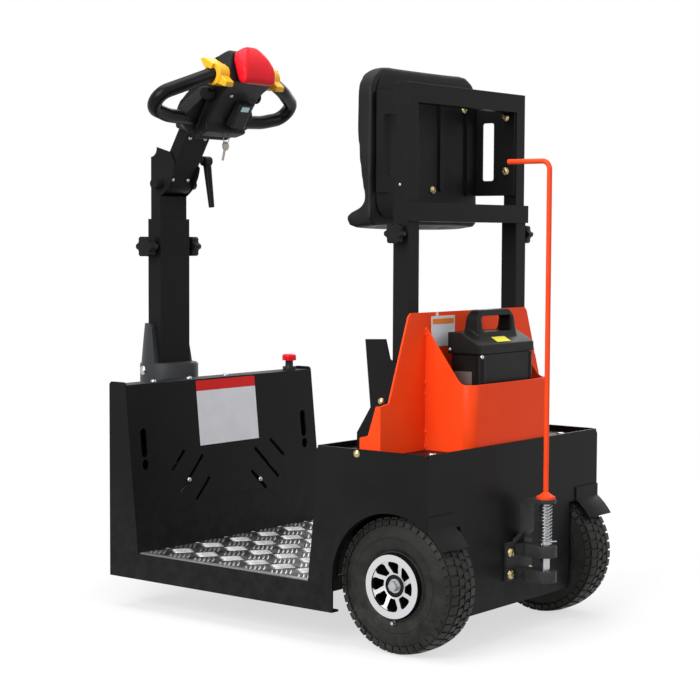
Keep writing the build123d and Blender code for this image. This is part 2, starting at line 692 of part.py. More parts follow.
# ------------------------------------------------------------------------------ wheels
def tyre():
    """Fat pneumatic tyre about Y, centred on the origin, without its tread blocks."""
    outer = TYRE_DIAMETER / 2
    bead = RIM_DIAMETER / 2
    edge = outer - SHOULDER_DROP
    half = TYRE_WIDTH / 2
    wall_end = (edge - 8, TREAD_HALF + 4)
    bulge = ((bead + wall_end[0]) / 2, half)
    lip = half - 6
    section = make_face([
        ThreePointArc((bead, lip), bulge, wall_end),
        Line(wall_end, (edge, TREAD_HALF)),
        ThreePointArc((edge, TREAD_HALF), (outer, 0), (edge, -TREAD_HALF)),
        Line((edge, -TREAD_HALF), (wall_end[0], -wall_end[1])),
        ThreePointArc((wall_end[0], -wall_end[1]), (bulge[0], -half), (bead, -lip)),
        Line((bead, -lip), (bead, lip)),
    ])
    return revolve(section, Axis.Y)


def at(radius, degrees_round):
    """Point of the wheel's face at a radius and an angle."""
    return (radius * cos(radians(degrees_round)), radius * sin(radians(degrees_round)))


def spoke_pocket():
    """Curved teardrop opening: wide at the ring, narrow and trailing at the hub."""
    far = RIM_DIAMETER / 2 - RIM_RING
    near = HUB_RADIUS + 3
    middle = (far + near) / 2
    wide = POCKET_TURN / 2
    narrow = wide * POCKET_NARROW
    waist = (wide + narrow) / 2
    face = make_face([
        ThreePointArc(at(far, -wide), at(far, 0), at(far, wide)),
        ThreePointArc(at(far, wide), at(middle, waist + POCKET_SWIRL / 4), at(near, narrow + POCKET_SWIRL)),
        ThreePointArc(at(near, narrow + POCKET_SWIRL), at(near, POCKET_SWIRL), at(near, POCKET_SWIRL - narrow)),
        ThreePointArc(at(near, POCKET_SWIRL - narrow), at(middle, POCKET_SWIRL / 4 - waist), at(far, -wide)),
    ])
    outer_ends = [v for v in face.vertices() if sqrt(v.X ** 2 + v.Y ** 2) > middle]
    face = fillet(outer_ends, 6)
    inner_ends = [v for v in face.vertices() if sqrt(v.X ** 2 + v.Y ** 2) < near + 0.5]
    return fillet(inner_ends, 3)


def rim():
    """Cast rim: barrel with a bright outer ring and a dished, swirling set of spokes."""
    outer = RIM_DIAMETER / 2
    ring = outer - RIM_RING
    face = RIM_FACE - 3
    barrel = turned((outer - RIM_WALL, -RIM_REAR), (outer, -RIM_REAR), (outer, RIM_FACE),
                    (outer - RIM_WALL, RIM_FACE))
    bright_ring = turned((ring, RIM_FACE - RIM_WALL), (outer - RIM_WALL, RIM_FACE - RIM_WALL),
                         (outer - RIM_WALL, RIM_FACE), (ring, RIM_FACE))
    disc = turned((HUB_RADIUS, face - DISH - SPOKE_T), (HUB_RADIUS, face - DISH), (ring, face),
                  (outer - RIM_WALL, face), (outer - RIM_WALL, face - SPOKE_T), (ring, face - SPOKE_T))
    bore = AXLE_RADIUS + AXLE_FIT
    hub = turned((bore, -RIM_REAR), (HUB_RADIUS, -RIM_REAR), (HUB_RADIUS, HUB_FACE), (bore, HUB_FACE))
    pocket = spoke_pocket()
    for index in range(POCKETS):
        disc -= slab_xz(Rot(0, 0, 360 / POCKETS * index) * pocket, face - DISH - 2 * SPOKE_T, RIM_FACE)
    return barrel + bright_ring + disc + hub


def hub_cap():
    """Dust cap, washer and axle nut on the hub's face."""
    cap = turned((0, HUB_FACE), (HUB_RADIUS - 1.3, HUB_FACE), (HUB_RADIUS - 1.3, HUB_FACE + 3), (0, HUB_FACE + 3))
    washer = turned((0, HUB_FACE + 3), (13, HUB_FACE + 3), (13, HUB_FACE + 5), (0, HUB_FACE + 5))
    nut = slab_xz(RegularPolygon(9.5, 6), HUB_FACE + 5, HUB_FACE + 13)
    return cap + washer + nut


# ------------------------------------------------------------------------ steering parts
def front_fork():
    """Crown, two legs, axle and the stem that turns in the head tube."""
    inner = TYRE_WIDTH / 2 + FORK_GAP
    outer = inner + FORK_LEG
    low, high = FORK_CROWN_Z
    crown = slab_xy(Pos(STEER_X, 0) * RectangleRounded(70, 2 * outer, 10), low, high)
    leg_face = outline((STEER_X - 30, low), (STEER_X + 30, low), (STEER_X + 18, AXLE_Z - 22),
                       (STEER_X - 18, AXLE_Z - 22))
    leg = slab_xz(rounded(leg_face, 1), inner, outer)
    reach = outer + AXLE_RADIUS
    axle = cross_rod(STEER_X, AXLE_Z, -reach, reach, AXLE_RADIUS)
    stem = upright_rod(STEER_X, high, BASE_Z[0] + 10, STEM_RADIUS)
    return crown + leg + right_of(leg) + axle + stem


def steering_base():
    """Round casting on the stem with a tapering ear on each side of the column."""
    low, high = BASE_Z
    depth, width = OUTER_TUBE
    step = high - BASE_STEP
    body = upright_rod(STEER_X, low, step, BASE_RADIUS) + upright_rod(STEER_X, step, high,
                                                                      BASE_RADIUS - BASE_STEP)
    cone = Cone(BASE_RADIUS - BASE_STEP, EAR_TOP_RADIUS, EAR_TOP_Z - high,
                align=(Align.CENTER, Align.CENTER, Align.MIN))
    ear_outline = outline((STEER_X - 13, high), (STEER_X + 1, EAR_TOP_Z), (STEER_X + 36, EAR_TOP_Z),
                          (STEER_X + 55, high))
    ears = Pos(STEER_X, 0, high) * cone
    ears &= slab_xz(rounded(ear_outline, 15, keep_low=True), -BASE_RADIUS, BASE_RADIUS)
    ears -= block((STEER_X - BASE_RADIUS, STEER_X + BASE_RADIUS), (-width / 2, width / 2), (high, EAR_TOP_Z))
    shape = body + ears - upright_rod(STEER_X, low - 1, low + 10, STEM_RADIUS)
    return shape - block((STEER_X - depth / 2, STEER_X + depth / 2), (-width / 2, width / 2),
                         (COLUMN_FOOT_Z, high + 1))


def tube_section(size, wall):
    depth, width = size
    return Rectangle(depth, width) - Rectangle(depth - 2 * wall, width - 2 * wall)


def column_outer():
    section = tube_section(OUTER_TUBE, OUTER_WALL)
    return slab_xy(Pos(STEER_X, 0) * section, COLUMN_FOOT_Z, OUTER_TUBE_TOP_Z)


def column_knobs():
    left = Pos(STEER_X, OUTER_TUBE[1] / 2, COLUMN_KNOB_Z) * Rot(-90, 0, 0) * star_knob(*COLUMN_KNOB)
    return both_sides(left)


def on_arc(radius, turn):
    """Point in X and Z round the tilt pivot, turned back from upright."""
    return (TILT_PIVOT_X - radius * sin(radians(turn)), TILT_PIVOT_Z + radius * cos(radians(turn)))


def clamp_slot():
    """Curved slot round the tilt pivot for the clamp screw."""
    half = CLAMP_SCREW_RADIUS + 1.5
    first, last = (TILLER_LEAN + turn for turn in CLAMP_SLOT)
    middle = (first + last) / 2
    outer = ThreePointArc(on_arc(CLAMP_REACH + half, first), on_arc(CLAMP_REACH + half, middle),
                          on_arc(CLAMP_REACH + half, last))
    inner = ThreePointArc(on_arc(CLAMP_REACH - half, last), on_arc(CLAMP_REACH - half, middle),
                          on_arc(CLAMP_REACH - half, first))
    ends = [Line(outer @ 1, inner @ 0), Line(inner @ 1, outer @ 0)]
    return make_face([outer, ends[0], inner, ends[1]])


def column_inner():
    """Sliding tube whose side walls rise into the two tilt cheeks."""
    depth, width = INNER_TUBE
    top = INNER_TUBE_TOP_Z
    tube = slab_xy(Pos(STEER_X, 0) * tube_section(INNER_TUBE, INNER_WALL), INNER_TUBE_FOOT_Z, top)
    front = STEER_X + depth / 2
    rear = STEER_X - depth / 2
    notch_z = CHEEK_TOP_Z - 21
    face = make_face([
        Polyline((rear, top), (front, top), (front, notch_z)),
        ThreePointArc((front, notch_z), (front - 12, notch_z + 5), (front - 17, CHEEK_TOP_Z)),
        Polyline((front - 17, CHEEK_TOP_Z), (rear - 31, CHEEK_TOP_Z - 12), (rear - 42, CHEEK_TOP_Z - 31)),
        ThreePointArc((rear - 42, CHEEK_TOP_Z - 31), (rear - 35, TILT_PIVOT_Z + 12), (rear, top)),
    ])
    cheek = slab_xz(face, width / 2 - INNER_WALL, width / 2)
    cap_radius, cap_height = TILT_CAP
    cap = cross_rod(TILT_PIVOT_X, TILT_PIVOT_Z, width / 2, width / 2 + cap_height, cap_radius)
    side = cheek + cap
    pin = cross_rod(TILT_PIVOT_X, TILT_PIVOT_Z, -width / 2, width / 2, TILT_PIN_RADIUS)
    lip = block((front - INNER_WALL, front), (-width / 2, width / 2), (top, top + FRONT_LIP))
    shape = tube + side + right_of(side) + pin + lip
    return shape - slab_xz(clamp_slot(), -width / 2 - 1, INNER_WALL + 1 - width / 2)


def lean(shape):
    """From upright tiller coordinates (pivot at the origin) to the leaning place."""
    return Pos(TILT_PIVOT_X, 0, TILT_PIVOT_Z) * Rot(0, -TILLER_LEAN, 0) * shape


def tiller_stem():
    """Square stem with a round foot that swings on the tilt pin."""
    half = INNER_TUBE[1] / 2 - INNER_WALL - TILLER_GAP
    stem = block((-TILLER_DEPTH / 2, TILLER_DEPTH / 2), (-half, half), (0, TILLER_LENGTH))
    stem += cross_rod(0, 0, -half, half, TILLER_TAIL)
    return stem - cross_rod(0, 0, -half - 1, half + 1, TILT_PIN_RADIUS + 0.3)


def tiller_head():
    """Moulded housing: a console that swells from the stem, with a web to each loop."""
    top = HEAD_TOP
    side = outline((20, 128), (22, 190), (-14, 290), (-36, top), (-50, top), (-96, 300), (-78, 258),
                   (-71, 190), (-83, 174), (-66, 154))
    wide = HEAD_HALF + 3
    front = outline((-44, 128), (44, 128), (HEAD_HALF, 165), (HEAD_HALF, 262), (wide, 290), (wide, 318),
                    (44, top), (-44, top), (-wide, 318), (-wide, 290), (-HEAD_HALF, 262), (-HEAD_HALF, 165))
    console = slab_xz(rounded(side, 5), -wide, wide) & slab_yz(rounded(front, 9), -120, 60)
    web = outline((-50, 138), (50, 138), (106, 170), (108, 194), (HEAD_HALF, 256), (-HEAD_HALF, 256),
                  (-108, 194), (-106, 170))
    return console + slab_yz(rounded(web, 6), -50, -20) - tiller_stem()


def handle_loop():
    """Left grip loop from the head's top out to the tip and back under it."""
    # forward, left, up the stem
    route = [(-62, 60, 310), (-62, 150, 272), (-46, 258, 213), (-40, 150, 184), (-36, 50, 178)]
    return bent_pipe(route, [120, 30, 120], GRIP_RADIUS)


def handle_loops():
    loop = handle_loop()
    return both_sides(loop - tiller_head())


def belly_button():
    """Domed push-back button across the top of the head."""
    half = BUTTON_HALF
    side = make_face([
        Polyline((-96, HEAD_TOP - 45), (-50, HEAD_TOP), (-52, HEAD_TOP + 20)),
        ThreePointArc((-52, HEAD_TOP + 20), (-91, HEAD_TOP + 1), (-118, HEAD_TOP - 34)),
        Polyline((-118, HEAD_TOP - 34), (-110, HEAD_TOP - 45), (-96, HEAD_TOP - 45)),
    ])
    crown = make_face([
        ThreePointArc((-half, HEAD_TOP - 12), (0, HEAD_TOP + 21), (half, HEAD_TOP - 12)),
        Polyline((half, HEAD_TOP - 12), (half - 3, HEAD_TOP - 50), (3 - half, HEAD_TOP - 50), (-half, HEAD_TOP - 12)),
    ])
    return slab_xz(side, -half, half) & slab_yz(crown, -130, 0)


def thumb_switches():
    """Collar round the root of each grip, with a thumb wing above it and one below."""
    far = SWITCH_Y + SWITCH_WIDTH
    z = SWITCH_Z
    left = cross_rod(-64, z, SWITCH_Y, far, SWITCH_RADIUS) - handle_loop()
    upper = outline((-64, z + 10), (-64, z + 23), (-34, z + 22), (-25, z + 16), (-42, z + 6))
    lower = outline((-82, z - 12), (-82, z + 8), (-106, z + 4), (-108, z - 8))
    wings = slab_xz(rounded(upper, 2), SWITCH_Y + 3, far + 9) + slab_xz(rounded(lower, 3), SWITCH_Y + 4, far - 3)
    return both_sides(left + (wings - handle_loop()) - tiller_head())


def display_unit():
    """Small panel with the charge display, low on the head's rear face."""
    box = block((-90, -60), (-42, 0), (188, 244))
    return fillet(box.edges().filter_by(Axis.Z), 4) - tiller_head()


def clamp_lever():
    """Screw, hub and hanging tapered handle of the tilt clamp."""
    y = -INNER_TUBE[1] / 2
    screw = cross_rod(0, CLAMP_REACH, y - 20, y + INNER_WALL + TILLER_GAP, CLAMP_SCREW_RADIUS)
    hub = cross_rod(0, CLAMP_REACH, y - 42, y - 20, 11)
    swing = TILLER_LEAN + 6
    hang = Vector(-sin(radians(swing)), -0.04, -cos(radians(swing)))
    handle = Plane(origin=(0, y - 33, CLAMP_REACH), z_dir=hang) * Cone(
        9.5, 6.5, 104, align=(Align.CENTER, Align.CENTER, Align.MIN))
    return screw + hub + handle


# ------------------------------------------------------------------------------- hitch
def hitch_bracket():
    """Back plate, two jaws and the bent strap that guides the pin."""
    front = REAR_X - HITCH_PLATE_T
    low, high = JAW_Z[0] - HITCH_PLATE_MARGIN[0], JAW_Z[1] + HITCH_PLATE_MARGIN[1]
    shape = block((front, REAR_X), (-HITCH_PLATE_HALF, HITCH_PLATE_HALF), (low, high))
    neck = JAW_NECK
    jaw = outline((front, -neck), (front, neck), (front - 17, neck + 2), (front - 27, JAW_RADIUS),
                  (PIN_X, JAW_RADIUS), (PIN_X, -JAW_RADIUS), (front - 27, -JAW_RADIUS), (front - 17, -neck - 2))
    jaw += Pos(PIN_X, 0) * Circle(JAW_RADIUS)
    for z in JAW_Z:
        shape += slab_xy(jaw, z - JAW_T / 2, z + JAW_T / 2)
    strap = FilletPolyline((REAR_X - STRAP_T / 2, high), (STRAP_X, high + 18), (STRAP_X, STRAP_Z),
                           (PIN_X, STRAP_Z), radius=STRAP_BEND)
    shape += slab_xz(trace(strap, line_width=STRAP_T), -STRAP_HALF, STRAP_HALF)
    shape += upright_rod(PIN_X, *STRAP_EYE_Z, STRAP_HALF)
    return shape - upright_rod(PIN_X, JAW_Z[0] - JAW_T, STRAP_EYE_Z[1] + 1, PIN_RADIUS + PIN_FIT)


def hitch_pin():
    """Pin with its collar and red flange, and the long bent pull rod."""
    foot = STRAP_EYE_Z[1] + SOFT_GAP
    radius, height, cone_height = FLANGE
    pin = upright_rod(PIN_X, JAW_Z[0], foot, PIN_RADIUS)
    flange = upright_rod(PIN_X, foot, foot + height, radius)
    flange += Pos(PIN_X, 0, foot + height) * Cone(
        radius - 2, ROD_RADIUS, cone_height, align=(Align.CENTER, Align.CENTER, Align.MIN))
    collar = upright_rod(PIN_X, COLLAR_Z, COLLAR_Z + COLLAR_T, PIN_RADIUS + COLLAR_T)
    pull = bent_pipe([(PIN_X, 0, foot + height), (PIN_X, 0, ROD_TOP_Z), (PIN_X + ROD_REACH, 0, ROD_TOP_Z)],
                     ROD_BEND, ROD_RADIUS)
    return pin + flange + collar + pull


def hitch_spring():
    """Compression spring between the pin's collar and the strap."""
    low = COLLAR_Z + COLLAR_T + SPRING_WIRE + SPRING_GAP
    high = STRAP_EYE_Z[0] - SPRING_WIRE - SPRING_GAP
    helix = Helix(pitch=(high - low) / SPRING_TURNS, height=high - low,
                  radius=PIN_RADIUS + SPRING_WIRE + SPRING_GAP)
    helix = Pos(PIN_X, 0, low) * helix
    section = Plane(origin=helix @ 0, z_dir=helix % 0) * Circle(SPRING_WIRE)
    return sweep(section, path=helix)


# ---------------------------------------------------------------------------- assembly
keep("left_side_plate", side_plate())
keep("right_side_plate", right_of(side_plate()))
keep("rear_panel", rear_panel())
keep("nose_panel", nose_panel())
keep("rear_deck", block((REAR_X + SHEET, NOSE_X - SHEET), (-INSIDE_Y, INSIDE_Y), (DECK_Z - DECK_T, DECK_Z)))
keep("wheel_wells", both_sides(wheel_well()))
keep("mudguard_flaps", both_sides(mudguard_flap()))
keep("shield_panel", shield_panel())
keep("front_cover", front_cover())
keep("floor_plate", floor_plate())
keep("floor_edge_strips", floor_edge_strips())
keep("floor_rails", floor_rails())
keep("floor_cross_members", floor_cross_members())
keep("steering_bracket", steering_bracket())
keep("rear_axle", rear_axle())
keep("drive_motor", drive_motor())
keep("axle_mounts", axle_mounts())
keep("emergency_stop", emergency_stop())
keep("seat_posts", both_sides(seat_post()))
keep("seat_crossbar", seat_crossbar())
keep("post_brackets", both_sides(post_bracket()))
keep("post_knobs", post_knobs())
keep("battery_holder", battery_holder())
keep("battery_case", battery_case())
keep("battery_lid", battery_lid())
keep("seat_frame", seat_frame())
keep("seat_brackets", both_sides(seat_bracket()))
keep("seat_pan", seat_pan())
keep("seat_pad", seat_pad())

# name, X and Y of the wheel's middle, whether its face is to the right
for name, x, y, faces_right in (
    ("rear_left", 0, TRACK_HALF, False),
    ("rear_right", 0, -TRACK_HALF, True),
    ("front", STEER_X, 0, False),
):
    spot = Pos(x, y, AXLE_Z)
    keep(f"{name}_tyre", spot * tyre())
    keep(f"{name}_rim", spot * (right_of(rim()) if faces_right else rim()))
for name, y, faces_right in (("rear_left", TRACK_HALF, False), ("rear_right", -TRACK_HALF, True)):
    keep(f"{name}_hub", Pos(0, y, AXLE_Z) * (right_of(hub_cap()) if faces_right else hub_cap()))

keep("front_fork", front_fork())
keep("steering_base", steering_base())
keep("column_outer_tube", column_outer())
keep("column_knobs", column_knobs())
keep("column_inner_tube", column_inner())
keep("tiller_stem", lean(tiller_stem()))
keep("tiller_head", lean(tiller_head()))
keep("handle_loops", lean(handle_loops()))
keep("belly_button", lean(belly_button()))
keep("thumb_switches", lean(thumb_switches()))
keep("display_unit", lean(display_unit()))
keep("clamp_lever", lean(clamp_lever()))
keep("hitch_bracket", hitch_bracket())
keep("hitch_pin", hitch_pin())
keep("hitch_spring", hitch_spring())

os.makedirs("parts", exist_ok=True)
for name, shape in PARTS.items():
    export_step(Pos(-ORIGIN_X, 0, 0) * shape, f"parts/{name}.step")
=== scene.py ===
# %% [markdown]
# # A stand-on baggage tug, dressed over its CAD model
#
# The tug arrives as a finished CAD assembly: sheet-metal chassis, three wheels, a
# steering column with a tiller, a lean seat, a battery and a sprung tow pin. This
# lesson gives each piece its real finish, and adds what CAD left out: tread on the
# tyres, raised bars on the floor plate, foam in the seat, screws, labels and welds.
# Everything is in metres, in the frame of the CAD model.

# %% Load the frame
import json
import math

import bmesh
import bpy
from mathutils import Matrix, Vector


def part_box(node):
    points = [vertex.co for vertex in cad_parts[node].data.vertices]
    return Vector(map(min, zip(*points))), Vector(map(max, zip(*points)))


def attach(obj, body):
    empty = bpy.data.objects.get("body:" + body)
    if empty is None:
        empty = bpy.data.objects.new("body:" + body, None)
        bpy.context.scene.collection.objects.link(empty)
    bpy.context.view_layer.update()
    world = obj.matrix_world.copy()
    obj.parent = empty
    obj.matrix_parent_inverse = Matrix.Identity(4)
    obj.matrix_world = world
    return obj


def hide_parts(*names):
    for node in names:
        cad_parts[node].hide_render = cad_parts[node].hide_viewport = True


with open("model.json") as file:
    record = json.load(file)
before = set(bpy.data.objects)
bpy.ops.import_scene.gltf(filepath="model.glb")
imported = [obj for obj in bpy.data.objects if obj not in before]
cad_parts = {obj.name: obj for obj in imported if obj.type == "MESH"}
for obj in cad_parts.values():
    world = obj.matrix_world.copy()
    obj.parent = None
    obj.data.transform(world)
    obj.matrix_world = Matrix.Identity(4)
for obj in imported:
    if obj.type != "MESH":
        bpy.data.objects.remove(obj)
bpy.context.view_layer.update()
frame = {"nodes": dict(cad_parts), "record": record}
nodes = frame["nodes"]
print("pieces from CAD:", len(nodes))

# %% [markdown]
# ## Places on the machine
#
# A drawing of a vehicle measures from its rear axle. The axle's place is read from
# the CAD tyre, so a helper can turn "millimetres from the axle" into a point in the
# scene. Piece sizes come from the CAD boxes wherever they can.

# %% Places
MM = 0.001


def middle(node):
    """Middle of a CAD node's box."""
    low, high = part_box(node)
    return (Vector(low) + Vector(high)) / 2


AXLE_X = middle("rear_left_tyre").x


def spot(x, y, z):
    """Point from millimetres forward of the rear axle, left of centre and above the floor."""
    return Vector((AXLE_X + x * MM, y * MM, z * MM))


print("rear axle at x =", round(AXLE_X, 4))

# %% [markdown]
# ## One shader group for every surface
#
# Paint, plastic and rubber all vary a little: the colour is patchy, the gloss is
# uneven, a fine grain breaks up highlights, and dust settles low down. A node group
# holds that recipe once. Each material gives it its own colours and scales, and
# plugs its outputs into the Principled shader. The alternative, copying the same
# six nodes into each material, is harder to keep in step.


# %% Group: lived-in surface
def add(tree, kind, **values):
    """New node, with attributes and default inputs set by name."""
    node = tree.nodes.new(kind)
    for key, value in values.items():
        if key.startswith("in_"):
            name = key[3:].replace("_", " ")
            node.inputs[int(name) if name.isdigit() else name].default_value = value
        else:
            setattr(node, key, value)
    return node


def make_surface_group():
    """Patchy colour with dust low down, uneven roughness and a fine relief."""
    group = bpy.data.node_groups.new("lived_in_surface", "ShaderNodeTree")
    for name, kind, value in (
        ("Vector", "NodeSocketVector", None),
        ("Colour", "NodeSocketColor", (0.5, 0.5, 0.5, 1)),
        ("Patch Colour", "NodeSocketColor", (0.6, 0.6, 0.6, 1)),
        ("Patch Scale", "NodeSocketFloat", 6.0),
        ("Roughness", "NodeSocketFloat", 0.5),
        ("Roughness Spread", "NodeSocketFloat", 0.1),
        ("Grain Scale", "NodeSocketFloat", 600.0),
        ("Dust", "NodeSocketFloat", 0.2),
        ("Dust Height", "NodeSocketFloat", 0.25),
    ):
        socket = group.interface.new_socket(name, in_out="INPUT", socket_type=kind)
        if value is not None:
            socket.default_value = value
    for name, kind in (("Colour", "NodeSocketColor"), ("Roughness", "NodeSocketFloat"),
                       ("Height", "NodeSocketFloat")):
        group.interface.new_socket(name, in_out="OUTPUT", socket_type=kind)
    link = group.links.new
    given = add(group, "NodeGroupInput")
    result = add(group, "NodeGroupOutput")
    patch = add(group, "ShaderNodeTexNoise", in_Detail=5.0, in_Roughness=0.6)
    link(given.outputs["Vector"], patch.inputs["Vector"])
    link(given.outputs["Patch Scale"], patch.inputs["Scale"])
    spread = add(group, "ShaderNodeMapRange", in_From_Min=0.35, in_From_Max=0.68)
    link(patch.outputs["Fac"], spread.inputs["Value"])
    blotched = add(group, "ShaderNodeMix", data_type="RGBA")
    link(spread.outputs["Result"], blotched.inputs["Factor"])
    link(given.outputs["Colour"], blotched.inputs["A"])
    link(given.outputs["Patch Colour"], blotched.inputs["B"])
    height = add(group, "ShaderNodeSeparateXYZ")
    link(given.outputs["Vector"], height.inputs["Vector"])
    low_down = add(group, "ShaderNodeMapRange", in_From_Min=0.0, in_To_Min=1.0, in_To_Max=0.0)
    link(height.outputs["Z"], low_down.inputs["Value"])
    link(given.outputs["Dust Height"], low_down.inputs["From Max"])
    specks = add(group, "ShaderNodeTexNoise", in_Scale=38.0, in_Detail=8.0, in_Roughness=0.75)
    link(given.outputs["Vector"], specks.inputs["Vector"])
    thin = add(group, "ShaderNodeMapRange", in_From_Min=0.42, in_From_Max=0.75)
    link(specks.outputs["Fac"], thin.inputs["Value"])
    settled = add(group, "ShaderNodeMath", operation="MULTIPLY")
    link(low_down.outputs["Result"], settled.inputs[0])
    link(thin.outputs["Result"], settled.inputs[1])
    dust = add(group, "ShaderNodeMath", operation="MULTIPLY")
    link(settled.outputs["Value"], dust.inputs[0])
    link(given.outputs["Dust"], dust.inputs[1])
    dusty = add(group, "ShaderNodeMix", data_type="RGBA", in_B=(0.30, 0.28, 0.25, 1))
    link(dust.outputs["Value"], dusty.inputs["Factor"])
    link(blotched.outputs["Result"], dusty.inputs["A"])
    link(dusty.outputs["Result"], result.inputs["Colour"])
    offset = add(group, "ShaderNodeMath", operation="SUBTRACT", in_1=0.5)
    link(spread.outputs["Result"], offset.inputs[0])
    uneven = add(group, "ShaderNodeMath", operation="MULTIPLY_ADD")
    link(offset.outputs["Value"], uneven.inputs[0])
    link(given.outputs["Roughness Spread"], uneven.inputs[1])
    link(given.outputs["Roughness"], uneven.inputs[2])
    matter = add(group, "ShaderNodeMath", operation="MULTIPLY_ADD", in_1=0.4, use_clamp=True)
    link(dust.outputs["Value"], matter.inputs[0])
    link(uneven.outputs["Value"], matter.inputs[2])
    link(matter.outputs["Value"], result.inputs["Roughness"])
    grain = add(group, "ShaderNodeTexNoise", in_Detail=3.0, in_Roughness=0.55)
    link(given.outputs["Vector"], grain.inputs["Vector"])
    link(given.outputs["Grain Scale"], grain.inputs["Scale"])
    link(grain.outputs["Fac"], result.inputs["Height"])
    return group


lived_in = make_surface_group()
print("group sockets:", len(lived_in.interface.items_tree))

# %% [markdown]
# ## A material from the group
#
# `surface` makes one complete material: object coordinates feed the group, the
# group feeds colour, roughness and a small bump. Numbers that are the same all over,
# such as the clear coat on a gloss paint, stay on the shader's own sockets.


# %% Material builder
RELIEF_DEPTH = 0.6 * MM
COAT_ROUGHNESS = 0.15


def surface(name, colour, patch, roughness, *, spread=0.1, patch_scale=6.0, grain=600.0,
            bump=0.1, dust=0.0, dust_height=0.25, metallic=0.0, coat=0.0, specular=0.12):
    """Material whose colour, roughness and relief come from the lived-in group."""
    material = bpy.data.materials.new(name)
    material.use_nodes = True
    tree = material.node_tree
    shader = tree.nodes["Principled BSDF"]
    place = add(tree, "ShaderNodeTexCoord")
    group = add(tree, "ShaderNodeGroup", node_tree=lived_in)
    group.name = "surface"
    tree.links.new(place.outputs["Object"], group.inputs["Vector"])
    for socket, value in (
        ("Colour", (*colour, 1)), ("Patch Colour", (*patch, 1)), ("Patch Scale", patch_scale),
        ("Roughness", roughness), ("Roughness Spread", spread), ("Grain Scale", grain),
        ("Dust", dust), ("Dust Height", dust_height),
    ):
        group.inputs[socket].default_value = value
    relief = add(tree, "ShaderNodeBump", in_Strength=bump, in_Distance=RELIEF_DEPTH)
    relief.name = "relief"
    tree.links.new(group.outputs["Height"], relief.inputs["Height"])
    tree.links.new(group.outputs["Colour"], shader.inputs["Base Color"])
    tree.links.new(group.outputs["Roughness"], shader.inputs["Roughness"])
    tree.links.new(relief.outputs["Normal"], shader.inputs["Normal"])
    shader.inputs["Metallic"].default_value = metallic
    shader.inputs["Coat Weight"].default_value = coat
    shader.inputs["Coat Roughness"].default_value = COAT_ROUGHNESS
    shader.inputs["Specular IOR Level"].default_value = specular
    return material


# %% [markdown]
# ## Paints
#
# The chassis is powder coated: a thick, satin black skin with the faint ripple that
# painters call orange peel, so its grain is coarse and its bump is soft. The battery
# holder has the same coat in signal orange. The tow rod is a slightly lighter orange.

# %% Paint materials
black_paint = surface("black powder coat", (0.0078, 0.0080, 0.0084), (0.0105, 0.0108, 0.0112), 0.42,
                      spread=0.12, grain=420.0, bump=0.16, dust=0.06, dust_height=0.30, specular=0.07)
orange_paint = surface("orange powder coat", (0.90, 0.060, 0.008), (0.95, 0.072, 0.011), 0.40,
                       spread=0.08, grain=420.0, bump=0.14)
rod_paint = surface("orange-red rod paint", (0.92, 0.066, 0.012), (0.96, 0.080, 0.016), 0.38,
                    spread=0.08, patch_scale=14.0, grain=500.0, bump=0.10)
hitch_paint = surface("grey hitch paint", (0.026, 0.0265, 0.029), (0.038, 0.0385, 0.042), 0.46,
                      spread=0.16, patch_scale=26.0, grain=350.0, bump=0.25, dust=0.2, dust_height=0.3)
casting_grey = surface("satin grey casting", (0.030, 0.032, 0.036), (0.040, 0.042, 0.046), 0.40,
                       spread=0.10, patch_scale=14.0, grain=900.0, bump=0.22)
cast_iron = surface("dark axle casting", (0.020, 0.020, 0.020), (0.040, 0.037, 0.034), 0.62,
                    spread=0.16, patch_scale=22.0, grain=260.0, bump=0.5, dust=0.4, dust_height=0.35)
print("paints made")

# %% [markdown]
# ## Plastics, rubber and foam
#
# Moulded covers have a fine spark-eroded texture and a dull sheen. The grips are
# smoother. The red pad and the yellow thumb switches are glossy, so their grain is
# nearly flat, and the switches have a thin clear coat. The seat is self-skinned foam:
# a leathery, slightly oily black.

# %% Plastic, rubber and foam materials
black_plastic = surface("moulded black plastic", (0.0066, 0.0067, 0.0072), (0.0090, 0.0092, 0.0098), 0.46,
                        spread=0.10, patch_scale=18.0, grain=1500.0, bump=0.20)
battery_plastic = surface("battery case plastic", (0.0055, 0.0054, 0.0054), (0.0085, 0.0083, 0.0080), 0.40,
                          spread=0.12, patch_scale=16.0, grain=1700.0, bump=0.22)
grip_rubber = surface("smooth grip rubber", (0.0040, 0.0040, 0.0046), (0.0062, 0.0062, 0.0070), 0.30,
                      spread=0.10, patch_scale=20.0, grain=1200.0, bump=0.08)
red_plastic = surface("gloss red plastic", (0.74, 0.008, 0.018), (0.80, 0.012, 0.024), 0.34,
                      spread=0.06, patch_scale=18.0, grain=900.0, bump=0.04, specular=0.14)
yellow_plastic = surface("gloss yellow plastic", (0.90, 0.46, 0.018), (0.94, 0.52, 0.028), 0.34,
                         spread=0.06, patch_scale=20.0, grain=900.0, bump=0.04, coat=0.08, specular=0.25)
display_plastic = surface("display cover", (0.016, 0.017, 0.019), (0.022, 0.023, 0.026), 0.30,
                          spread=0.08, patch_scale=30.0, grain=1500.0, bump=0.08)
tyre_rubber = surface("tyre rubber", (0.0080, 0.0080, 0.0075), (0.0150, 0.0148, 0.0138), 0.50,
                      spread=0.20, patch_scale=24.0, grain=500.0, bump=0.30, dust=0.12, dust_height=0.30,
                      specular=0.18)
seat_foam = surface("self-skinned foam", (0.0085, 0.0085, 0.0088), (0.0120, 0.0120, 0.0126), 0.44,
                    spread=0.12, patch_scale=12.0, grain=1100.0, bump=0.32)
label_white = surface("white label", (0.70, 0.72, 0.77), (0.75, 0.77, 0.82), 0.42,
                      spread=0.08, patch_scale=20.0, grain=800.0, bump=0.05)
